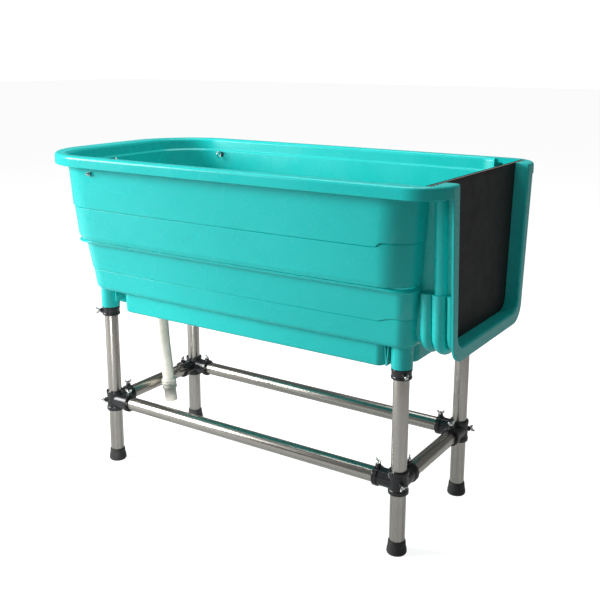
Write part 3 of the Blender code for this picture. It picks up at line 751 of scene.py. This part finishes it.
GUSSET_WIDTH = (0.15, 0.196)  # from the middle plane outwards
GUSSET_LOW = PAN_BOTTOM + 0.003
GUSSET_HIGH = BODY_BOTTOM + 0.002


def slanted_plate(name, foot, head, low, half, width):
    """Thin upright plate across Y that leans from one X at its foot to another at its head."""
    high = GUSSET_HIGH
    outline = ((foot - half, low), (foot + half, low), (head + half, high), (head - half, high))
    return loft(name, [[Vector((x, y, z)) for x, z in outline] for y in width])


def gussets(corner):
    """Ribs beside a leg's socket: a V at the door end, one plate in the wider pocket at the closed end."""
    place = leg_axis(corner)
    width = sorted(math.copysign(reach, place.y) for reach in GUSSET_WIDTH)
    if place.x < 0.0:
        x = place.x + 0.04
        return [slanted_plate(f"gusset_{corner}", x, x, GUSSET_LOW + 0.02, 0.0011, width)]
    x = place.x - 0.0312
    leans = (("near", 0.0006, 0.0054), ("far", -0.0006, -0.0046))
    return [slanted_plate(f"gusset_{corner}_{arm}", x + foot, x + head, GUSSET_LOW, 0.001, width)
            for arm, foot, head in leans]


# Each U at the door end: half width at the rim and at the bottom, bottom, corner radius and top.
THROAT = (0.2135, 0.1915, 0.5335, 0.038, 0.898)
CHANNEL = (0.2125, 0.1905, 0.5345, 0.038, 0.8976)
FLANGE = (0.241, 0.211, 0.507, 0.05, 0.899)
LOW_THROAT = (0.2125, 0.196, 0.5305, 0.041, 0.66)
PASSAGE = (0.209, 0.187, 0.538, 0.034, OPEN_ABOVE)
THROAT_START = 0.5
FLANGE_BACK = 0.609
FLANGE_EASE = 0.0018
CHANNEL_RADIUS = 0.0145
# The ribs that wrap the door end below the shelf: middle, radius and top.
LOW_COLUMNS = ((0.5445, 0.0152, 0.6606), (0.574, 0.0165, 0.661), (0.6, 0.008, 0.6603))
LOW_COLUMN = (0.2128, 0.1962, 0.5302, 0.041)
DECK = ((0.52, -0.286, 0.8785), (0.59, 0.286, 0.897))
EAR_ROOM = ((0.5, -0.2805, 0.8845), (SLOT_X, 0.2805, OPEN_ABOVE))

LEASH_EYES = (
    ("back", Vector((-0.398, 0.282, 0.86)), 90.0),
    ("left", Vector((-0.555, -0.045, 0.86)), 180.0),
    ("front", Vector((-0.39, -0.282, 0.86)), -90.0),
)
SOCKET_RADIUS = 0.0253
SOCKET_HEIGHT = 0.0585
BORE_RADIUS = 0.01945
BORE_DEPTH = 0.0515
WASTE_HOLE = 0.0225
BOLT_HOLE = 0.0034
FIT_GAP = 0.0004


def make_tub(material):
    """Walls, rim, pan, door-end U, sockets and gussets joined, then the wet side and every hole cut out."""
    tub = new_object("tub_moulding", tub_outer())
    additions = [
        u_loft("throat", [(THROAT_START, 0.0), (FLANGE_BACK + 0.001, 0.0)], *THROAT),
        u_loft("channel", half_round(SLOT_X, CHANNEL_RADIUS, squeeze=1.02), *CHANNEL),
        u_loft("flange", rounded_plate(FLANGE_BACK, DOOR_FACE, FLANGE_EASE), *FLANGE),
        box_mesh("shoulder_deck", *DECK),
        u_loft("low_throat", [(THROAT_START, 0.0), (FLANGE_BACK, 0.0)], *LOW_THROAT),
    ]
    for index, (middle, radius, top) in enumerate(LOW_COLUMNS):
        additions.append(u_loft(f"low_column_{index}", half_round(middle, radius), *LOW_COLUMN, top))
    additions += pan("pan", 0.0, 0.527)
    for corner in CORNERS:
        place = Matrix.Translation(leg_axis(corner) + UP * PAN_BOTTOM)
        additions.append(cylinder(f"socket_{corner}", SOCKET_RADIUS, SOCKET_HEIGHT, place, 48, 0.0016))
        additions += gussets(corner)
    combine(tub, "UNION", additions)
    slot_half = BOARD_THICKNESS / 2 + FIT_GAP
    slot = board_outline(FIT_GAP, OPEN_ABOVE)
    hollows = [
        tub_hollow(),
        box_mesh("ear_room", *EAR_ROOM),
        u_loft("passage", flared(THROAT_START + 0.005, DOOR_FACE, 0.005), *PASSAGE),
        loft("board_slot", [[Vector((SLOT_X + s * slot_half, y, z)) for y, z in slot] for s in (-1, 1)]),
    ]
    hollows += pan("pan_room", WALL, 0.54)
    below = 0.01  # cutters start this far outside what they cut
    for corner in CORNERS:
        place = Matrix.Translation(leg_axis(corner) + UP * (PAN_BOTTOM - below))
        hollows.append(cylinder(f"bore_{corner}", BORE_RADIUS, BORE_DEPTH + below, place, 48))
    low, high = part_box("drain_flange")
    drain = Matrix.Translation(((low.x + high.x) / 2, 0.0, PAN_BOTTOM - 0.018))
    hollows.append(cylinder("waste_hole", WASTE_HOLE, 0.04, drain, 48))
    for name, place, heading in LEASH_EYES:
        out = Matrix.Rotation(math.radians(heading), 4, "Z") @ Matrix.Rotation(math.pi / 2, 4, "Y")
        start = Matrix.Translation(place) @ out @ Matrix.Translation((0, 0, -2 * below))
        hollows.append(cylinder(f"eye_hole_{name}", BOLT_HOLE, 4 * below, start, 24))
    combine(tub, "DIFFERENCE", hollows)
    tub.data.materials.clear()
    tub.data.materials.append(material)
    shade(tub.data, 34)
    even = tub.modifiers.new("even_shading", "WEIGHTED_NORMAL")
    even.keep_sharp = True
    even.weight = 50
    claim(tub, "root", "tub_shell")


# --- board ---
def make_board(material):
    """The lift-out board, whose two faces stand a little past the edge between them."""
    lip, half = 0.0014, BOARD_THICKNESS / 2
    profile = [(-half, lip), (-half + lip * 0.3, lip * 0.3), (-half + lip, 0.0)]
    profile += [(-x, past) for x, past in reversed(profile)]
    outline = board_outline(0.0, BOARD_HIGH.z)
    middle = (BOARD_LOW.z + BOARD_HIGH.z) / 2
    rings = []
    for x, past in profile:
        ring = []
        for y, z in outline:
            out_y, out_z = math.copysign(past, y), math.copysign(past, z - middle)
            ring.append(Vector((SLOT_X + x, y + out_y, z + out_z)))
        rings.append(ring)
    mesh = loft("grooming_board", rings, 50)
    piece("grooming_board", mesh, material, "door_panel", "door")


# --- frame ---
TUBE_RADIUS = 0.019
TUBE_BORE = 0.0175
TUBE_EASE = 0.0005


def make_tube(name, node, axis, material):
    """A steel tube along an axis (0, 1 or 2), as long as its CAD node."""
    low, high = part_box(node)
    start = (low + high) / 2
    start[axis] = low[axis]
    length = high[axis] - low[axis]
    profile = eased([
        (TUBE_BORE, 0.0, TUBE_EASE), (TUBE_RADIUS, 0.0, TUBE_EASE), (TUBE_RADIUS, length * 0.5, 0.0),
        (TUBE_RADIUS, length, TUBE_EASE), (TUBE_BORE, length, TUBE_EASE), (TUBE_BORE, length * 0.5, 0.0),
    ], 2, closed=True)
    along = Vector([float(k == axis) for k in range(3)])
    turn = Matrix.Translation(start) if axis == 2 else toward(along, start)
    piece(name, turned(name, profile, 72, matrix=turn), material, node)


def make_tubes():
    upright, lengthways, crossways = (steel(f"steel_{name}", axis)
                                      for name, axis in (("upright", "Z"), ("long", "X"), ("short", "Y")))
    for corner in CORNERS:
        make_tube(f"leg_tube_{corner}", f"leg_{corner}", 2, upright)
    for side in ("front", "back"):
        make_tube(f"long_rail_{side}_tube", f"long_rail_{side}", 0, lengthways)
    for end in ("left", "right"):
        make_tube(f"short_rail_{end}_tube", f"short_rail_{end}", 1, crossways)


def make_feet(material):
    """Rubber ferrule: flared skirt with moulded rings and a grooved sole."""
    # Radius, height and rounding: down the outside, along the sole and up to the cup's floor.
    points = [
        (BORE_RADIUS, 0.034, 0.0003), (0.0208, 0.034, 0.0006), (0.0213, 0.0318, 0.0004),
        (0.0211, 0.0308, 0.0003), (0.0215, 0.0298, 0.0004), (0.0217, 0.0272, 0.0004),
        (0.0215, 0.0262, 0.0003), (0.0219, 0.0252, 0.0004), (0.0225, 0.019, 0.004),
        (0.024, 0.013, 0.003), (0.0243, 0.0092, 0.0006), (0.0238, 0.0084, 0.0003),
        (0.0245, 0.0076, 0.0006), (0.0245, 0.003, 0.002), (0.0225, 0.0, 0.0008), (0.019, 0.0, 0.0003),
        (0.0184, 0.0012, 0.0003), (0.015, 0.0012, 0.0003), (0.0144, 0.0, 0.0003), (0.006, 0.0, 0.0004),
        (0.006, 0.008, 0.0), (BORE_RADIUS, 0.008, 0.0),
    ]
    mesh = turned("rubber_foot", eased(points, 3, closed=True), 72)
    for corner in CORNERS:
        piece(f"rubber_foot_{corner}", mesh, material, f"foot_{corner}",
              matrix=Matrix.Translation(leg_axis(corner)))


RAIL_HEIGHT = sum(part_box("long_rail_front")[k].z for k in (0, 1)) / 2
ARM_LENGTH = 0.062
ARM_RADIUS = 0.0222
BAND_RADIUS = 0.025
BAND_LENGTH = 0.015
BOSS_RADIUS = 0.007
BOSS_START = 0.015
BOSS_TOP = 0.0305
BOLT_SEAT = 0.0308
BOLT_HOLE_START = 0.012
COLLAR_HALF = 0.029
CREST_RADIUS = 0.003
DIAGONAL = Vector((-1.0, -1.0, 0.0)).normalized()


def fused(name, parts, voxel, passes, keep):
    """Overlapping closed meshes as one moulded body, whose hard joins become small fillets."""
    bm = bmesh.new()
    for part in parts:
        bm.from_mesh(part)
    mesh = bpy.data.meshes.new(name)
    bm.to_mesh(mesh)
    bm.free()
    form = new_object(name, mesh)
    remesh = form.modifiers.new("remesh", "REMESH")
    remesh.mode = "VOXEL"
    remesh.voxel_size = voxel
    relax = form.modifiers.new("relax", "SMOOTH")
    relax.factor = 0.5
    relax.iterations = passes
    thin = form.modifiers.new("thin", "DECIMATE")
    thin.ratio = keep
    settle(form)
    return form


def fitting_bolts():
    """Direction and seat of each wing bolt of a front-left fitting, from its centre."""
    along = ARM_LENGTH - BAND_LENGTH / 2
    yield UP, Vector((along, 0.0, BOLT_SEAT))
    yield UP, Vector((0.0, along, BOLT_SEAT))
    yield DIAGONAL, DIAGONAL * BOLT_SEAT


def boss_and_hole(direction, seat):
    """The boss that a wing bolt's seat stands on, and the hole for its shank."""
    base = toward(direction, seat - direction * (BOLT_SEAT - BOSS_START))
    start = toward(direction, seat - direction * (BOLT_SEAT - BOLT_HOLE_START))
    boss = cylinder("boss", BOSS_RADIUS, BOSS_TOP - BOSS_START, base, 32, 0.0008)
    return boss, cylinder("bolt_hole", BOLT_HOLE, 0.04, start, 24)


def corner_fitting_mesh():
    """Collar round the leg with a bead at each end, two arms with flared bands, and three bolt bosses."""
    bead, band = 0.011, BAND_LENGTH - 0.002
    parts = [cylinder("collar", 0.0234, 2 * COLLAR_HALF, Matrix.Translation(UP * -COLLAR_HALF), 64, 0.0008)]
    for start in (-COLLAR_HALF, COLLAR_HALF - bead):
        parts.append(cylinder("collar_bead", 0.0248, bead, Matrix.Translation(UP * start), 64, 0.0014))
    bores = [cylinder("leg_bore", BORE_RADIUS, 0.2, Matrix.Translation(UP * -0.1))]
    for arm in (Vector((1, 0, 0)), Vector((0, 1, 0))):
        parts.append(cylinder("arm", ARM_RADIUS, ARM_LENGTH, toward(arm, (0, 0, 0)), 64, 0.0008))
        parts.append(cylinder("band", BAND_RADIUS, band, toward(arm, arm * (ARM_LENGTH - band)), 64, 0.0014))
        bores.append(cylinder("rail_bore", BORE_RADIUS, 0.1, toward(arm, arm * 0.024)))
    for direction, seat in fitting_bolts():
        boss, hole = boss_and_hole(direction, seat)
        parts.append(boss)
        bores.append(hole)
    return carved(fused("corner_fitting_moulding", parts, 0.0008, 3, 0.4), "DIFFERENCE", bores, 42)


def leg_collar_mesh(height):
    """Clamp ring with a bead at each end and the boss of its wing bolt."""
    bead = 0.0065
    boss, hole = boss_and_hole(DIAGONAL, UP * (height / 2) + DIAGONAL * BOLT_SEAT)
    parts = [
        cylinder("ring", 0.0238, height, Matrix.Identity(4), 64, 0.0012),
        cylinder("low_bead", 0.0249, bead, Matrix.Identity(4), 64, 0.0014),
        cylinder("high_bead", 0.0249, bead, Matrix.Translation(UP * (height - bead)), 64, 0.0014),
        boss,
    ]
    bores = [cylinder("leg_bore", BORE_RADIUS, 0.1, Matrix.Translation(UP * -0.05)), hole]
    return carved(fused("leg_collar_moulding", parts, 0.0007, 2, 0.5), "DIFFERENCE", bores, 42)


def thread(turns, start, step, gap, root):
    """Rings of a thread, (radius, z): a crest at each step and its root a gap further on."""
    rows = []
    for k in range(turns):
        z = start + step * k
        rows += [(CREST_RADIUS, z), (root, z + gap)]
    return rows


def wing_bolt_mesh():
    """Wing bolt with its seat at local z = 0: two ears on a round hub, and a threaded shank below."""
    outline = eased([
        (0.0026, 0.001, 0.0), (0.0078, 0.003, 0.0015), (0.0106, 0.0092, 0.002), (0.0088, 0.0124, 0.0018),
        (0.0058, 0.0104, 0.002), (0.0026, 0.0062, 0.0),
    ], 3)
    full = [tuple(p) for p in outline] + [(-p[0], p[1]) for p in reversed(outline)]
    rings = []
    for y, wide, tall in ((-0.0013, 0.97, 0.99), (-0.0009, 1, 1), (0.0009, 1, 1), (0.0013, 0.97, 0.99)):
        rings.append([Vector((x * wide, y, z * tall)) for x, z in full])
    hub = eased([
        (0.0, 0.0, 0.0), (0.0047, 0.0, 0.0004), (0.0044, 0.006, 0.0016), (0.0026, 0.0078, 0.001),
        (0.0, 0.008, 0.0),
    ], 3)
    shank = [(0.0, 0.001), (CREST_RADIUS, 0.001)]
    shank += thread(10, -0.0001, -0.001, -0.0004, 0.00262)
    shank += [(0.0026, -0.0105), (0.0, -0.0105)]
    tools = [turned("hub", hub, 32, closed=False), turned("shank", shank, 24, closed=False)]
    return carved(new_object("bolt_form", loft("wings", rings, 50)), "UNION", tools, 36)


# How far each kind of wing bolt is screwed round, in radians.
BOLT_TURN = {"long": 0.35, "short": 1.1, "leg": 0.6, "top": 1.3}


def make_fittings(black, bright):
    fitting = corner_fitting_mesh()
    low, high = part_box("leg_collar_front_left")
    collar = leg_collar_mesh(high.z - low.z)
    bolt = wing_bolt_mesh()
    for corner, degrees in CORNERS.items():
        spin = Matrix.Rotation(math.radians(degrees), 4, "Z")
        hub = Matrix.Translation(leg_axis(corner) + UP * RAIL_HEIGHT) @ spin
        piece(f"fitting_{corner}", fitting, black, f"corner_fitting_{corner}", matrix=hub)
        ring = Matrix.Translation(leg_axis(corner) + UP * low.z) @ spin
        piece(f"socket_clamp_{corner}", collar, black, f"leg_collar_{corner}", matrix=ring)
        for kind, turn in BOLT_TURN.items():
            joint = JOINTS[f"turn_{kind}_{corner}"]
            local = UP if kind in ("long", "short") else DIAGONAL
            matrix = Matrix.Translation(joint["pos_m"]) @ (spin @ toward(local, (0, 0, 0), turn))
            piece(f"wing_screw_{kind}_{corner}", bolt, bright, f"wing_bolt_{kind}_{corner}",
                  joint["child"], matrix)


# --- leash eyes ---
EYE_MAJOR = 0.009
EYE_MINOR = 0.0021
EYE_CENTRE = Vector((-0.0168, 0.0, 0.0))
EYE_STEPS = 48
EYE_SIDES = 16
NUT_CORNER = 0.0064
NUT_FACE = 0.005684
NUT_STEPS = 48


def eye_mesh():
    """Ring with a shouldered, threaded shank that runs out through the wall along local +X."""
    rings = []
    for angle in around(EYE_STEPS):
        spoke = Vector((math.cos(angle), 0.0, math.sin(angle)))
        ring = []
        for tilt in around(EYE_SIDES):
            offset = spoke * EYE_MINOR * math.cos(tilt) + Vector((0, EYE_MINOR * math.sin(tilt), 0))
            ring.append(EYE_CENTRE + spoke * EYE_MAJOR + offset)
        rings.append(ring)
    shoulder = [
        (0.0, -0.0082, 0.0), (0.0044, -0.0082, 0.0008), (0.0044, -0.0056, 0.0004),
        (CREST_RADIUS, -0.0054, 0.0002),
    ]
    profile = [tuple(p) for p in eased(shoulder, 2)]
    profile += thread(19, -0.0044, 0.001, 0.0005, 0.00268)
    profile += [(0.0026, 0.015), (0.0, 0.015)]
    shank = turned("eye_shank", profile, 24, closed=False, matrix=Matrix.Rotation(math.pi / 2, 4, "Y"))
    return carved(new_object("eye_form", loft("eye_ring", rings, closed=True)), "UNION", [shank], 36)


def hex_nut_mesh():
    """Hexagon nut with its corners turned down at both faces, round bore."""
    rings = []
    for z, reach in ((0.0038, NUT_FACE), (0.0043, NUT_CORNER), (0.0079, NUT_CORNER), (0.0084, NUT_FACE),
                     (0.0084, BOLT_HOLE), (0.0038, BOLT_HOLE)):
        ring = []
        for angle in around(NUT_STEPS):
            sector = (angle + math.pi / 6) % (math.pi / 3) - math.pi / 6
            flat = NUT_CORNER * math.cos(math.pi / 6) / math.cos(sector)
            ring.append(polar(min(flat, reach), angle, z))
        rings.append(ring)
    return loft("hex_nut", rings, 28, closed=True)


def make_leash_eyes(bright, rubber):
    eye, nut = eye_mesh(), hex_nut_mesh()
    washer = turned("tether_washer", eased([
        (0.008, -0.0038, 0.0003), (0.008, -0.0053, 0.0004), (0.0046, -0.0053, 0.0002),
        (0.0034, -0.0051, 0.0001), (0.0034, -0.0038, 0.0001),
    ], 2, closed=True), 48)
    for name, place, heading in LEASH_EYES:
        matrix = Matrix.Translation(place) @ Matrix.Rotation(math.radians(heading), 4, "Z")
        across = matrix @ Matrix.Rotation(math.pi / 2, 4, "Y")
        piece(f"tether_eye_{name}", eye, bright, f"leash_eye_{name}", matrix=matrix)
        piece(f"tether_washer_{name}", washer, rubber, f"leash_washer_{name}", matrix=across)
        piece(f"tether_nut_{name}", nut, bright, f"leash_nut_{name}", matrix=across)


# --- waste ---
def grip_ring(name, profile, ribs, depth, matrix, sides=144):
    """Turned ring whose outside is scalloped into grip ribs: profile of (radius, z, share of the depth)."""
    levels = []
    for radius, z, grip in profile:
        ring = []
        for turn in around(sides):
            reach = radius - depth * grip * max(0.0, math.cos(turn * ribs)) ** 2
            ring.append(matrix @ polar(reach, turn, z))
        levels.append(ring)
    return loft(name, levels, closed=True)


STRAINER_HOLES = 6
STRAINER_REACH = 0.011
SPOUT_END = 0.4301


def make_waste(white, rubber):
    """Waste fitting with its strainer, gasket, lock nut, hose nut and stopper; profiles in world heights."""
    low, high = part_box("drain_flange")
    drain_x = (low.x + high.x) / 2
    floor = PAN_BOTTOM + WALL
    at_drain = Matrix.Translation((drain_x, 0.0, 0.0))
    flange = eased([
        (0.021, floor + 0.0003, 0.0), (0.021, SPOUT_END, 0.0004), (0.017, SPOUT_END, 0.0004),
        (0.017, floor - 0.011, 0.0), (0.003, floor - 0.011, 0.0004), (0.003, floor - 0.008, 0.0004),
        (0.0178, floor - 0.008, 0.001), (0.0186, floor + 0.0024, 0.0012), (0.026, floor + 0.0031, 0.003),
        (0.0325, floor + 0.0024, 0.0012), (0.0335, floor + 0.0003, 0.0003),
    ], 3, closed=True)
    holes = []
    for k in range(STRAINER_HOLES):
        angle = ROUND * (k + 0.13) / STRAINER_HOLES
        place = at_drain @ polar(STRAINER_REACH, angle, 0.4585)
        spin = Matrix.Translation(place) @ Matrix.Rotation(0.11 + angle, 4, "Z")
        holes.append(cylinder(f"strainer_hole_{k}", 0.0034, 0.007, spin, 24))
    form = new_object("waste_form", turned("waste_flange", flange, 72, matrix=at_drain))
    piece("waste_flange", carved(form, "DIFFERENCE", holes, 36), white, "drain_flange")
    gasket = eased([
        (0.032, 0.4677, 0.0006), (0.032, 0.465, 0.0006), (0.0214, 0.465, 0.0003), (0.0214, 0.4677, 0.0003),
    ], 3, closed=True)
    piece("waste_gasket", turned("waste_gasket", gasket, 72), rubber, "drain_gasket",
          matrix=at_drain)
    nut = [
        (0.0214, 0.4647, 0), (0.0316, 0.4647, 0.4), (0.032, 0.464, 1), (0.032, 0.4552, 1),
        (0.0304, 0.4532, 0.5), (0.0298, 0.453, 0), (0.0214, 0.453, 0),
    ]
    piece("waste_lock_nut", grip_ring("waste_lock_nut", nut, 12, 0.0016, at_drain), white,
          "drain_lock_nut")
    cap = [
        (0.0214, 0.451, 0), (0.0268, 0.451, 0), (0.0275, 0.4502, 0.5), (0.0276, 0.449, 1),
        (0.0283, 0.423, 1), (0.0284, 0.4205, 0.3), (0.028, 0.419, 0), (0.0186, 0.419, 0),
        (0.0186, 0.426, 0), (0.0214, 0.429, 0),
    ]
    piece("hose_union_nut", grip_ring("hose_union_nut", cap, 18, 0.0011, at_drain), white,
          "hose_nut")
    plug = eased([
        (0.0, 0.0168, 0.0), (0.0034, 0.0168, 0.0008), (0.005, 0.015, 0.001), (0.0032, 0.0124, 0.001),
        (0.0032, 0.0104, 0.0008), (0.011, 0.0099, 0.001), (0.018, 0.0097, 0.0006), (0.0172, 0.0072, 0.0004),
        (0.0168, 0.0046, 0.0004), (0.016, 0.0004, 0.0006), (0.013, 0.0, 0.0006), (0.0, 0.0, 0.0),
    ], 3)
    seat = Matrix.Translation((drain_x, 0.0, floor - 0.007))
    piece("waste_plug", turned("waste_plug", plug, 72, closed=False), rubber, "drain_stopper",
          "stopper", seat)


# --- studio ---
def area_light(name, place, target, size, power, spread=180.0):
    data = bpy.data.lights.new(name, "AREA")
    data.shape = "RECTANGLE"
    data.size, data.size_y = size
    data.energy = power
    data.spread = math.radians(spread)
    aim = (Vector(target) - Vector(place)).to_track_quat("-Z", "Y").to_matrix().to_4x4()
    new_object(name, data).matrix_world = Matrix.Translation(place) @ aim


def studio_floor():
    """Pale floor that shows white to the camera and a dimmer white in reflections."""
    bm = bmesh.new()
    bmesh.ops.create_grid(bm, x_segments=1, y_segments=1, size=30.0)
    mesh = bpy.data.meshes.new("studio_floor")
    bm.to_mesh(mesh)
    bm.free()
    paint = Finish("studio_floor", 0.9)
    gray = paint.ramp(paint.noise(2.0, 2.0), (0.3, (0.46, 0.46, 0.46)), (0.7, (0.49, 0.49, 0.49)))
    paint.set(base_color=gray)
    paint.set(specular_ior_level=0.0, emission_color=(1.0, 1.0, 1.0))
    rays = paint.node("ShaderNodeLightPath").outputs
    shown = paint.node("ShaderNodeMath", operation="MULTIPLY_ADD")
    paint.link(rays["Is Glossy Ray"], shown.inputs[0])
    shown.inputs[1].default_value = 0.28
    paint.link(rays["Is Camera Ray"], shown.inputs[2])
    paint.set(emission_strength=paint.spread(shown.outputs[0], 0.0, 0.88, 0.0, 1.0))
    mesh.materials.append(paint.material)
    new_object("studio_floor", mesh)


def studio_world(surround, backdrop):
    """White world: one strength lights the scene, the other is what the camera sees."""
    world = bpy.data.worlds.new("studio")
    world.use_nodes = True
    tree = world.node_tree
    tree.nodes.clear()
    mix = tree.nodes.new("ShaderNodeMixShader")
    rays = tree.nodes.new("ShaderNodeLightPath")
    tree.links.new(rays.outputs["Is Camera Ray"], mix.inputs["Fac"])
    for socket, strength in ((1, surround), (2, backdrop)):
        light = tree.nodes.new("ShaderNodeBackground")
        light.inputs["Color"].default_value = (1.0, 1.0, 1.0, 1.0)
        light.inputs["Strength"].default_value = strength
        tree.links.new(light.outputs["Background"], mix.inputs[socket])
    out = tree.nodes.new("ShaderNodeOutputWorld")
    tree.links.new(mix.outputs["Shader"], out.inputs["Surface"])
    bpy.context.scene.world = world


def studio():
    """A big softbox far to the front left, one overhead, a small one low in front and a dim surround."""
    studio_floor()
    area_light("key", (-3.3, -2.3, 1.9), (0.0, 0.0, 0.7), (1.8, 1.6), 222.0)
    area_light("overhead", (-0.3, 0.2, 3.2), (0.0, 0.0, 0.6), (2.6, 1.6), 55.0)
    area_light("low_fill", (0.9, -2.6, 0.3), (-0.38, 0.0, 0.14), (0.5, 0.4), 0.75, spread=16.0)
    studio_world(0.17, 1.05)
    bpy.context.scene.view_settings.view_transform = "Standard"


aim_camera()
hose_material = pale_plastic("hose_plastic", (0.68, 0.645, 0.56), (0.8, 0.775, 0.7), 0.42)
make_hose(hose_material, make_cuff(hose_material))
rubber_material = black_rubber()
bright_material = bolt_steel()
make_tub(tub_plastic())
make_board(board_plastic())
make_tubes()
make_feet(rubber_material)
make_fittings(fitting_plastic(), bright_material)
make_leash_eyes(bright_material, rubber_material)
make_waste(pale_plastic("waste_plastic", (0.74, 0.73, 0.68), (0.84, 0.83, 0.79), 0.38), rubber_material)
studio()
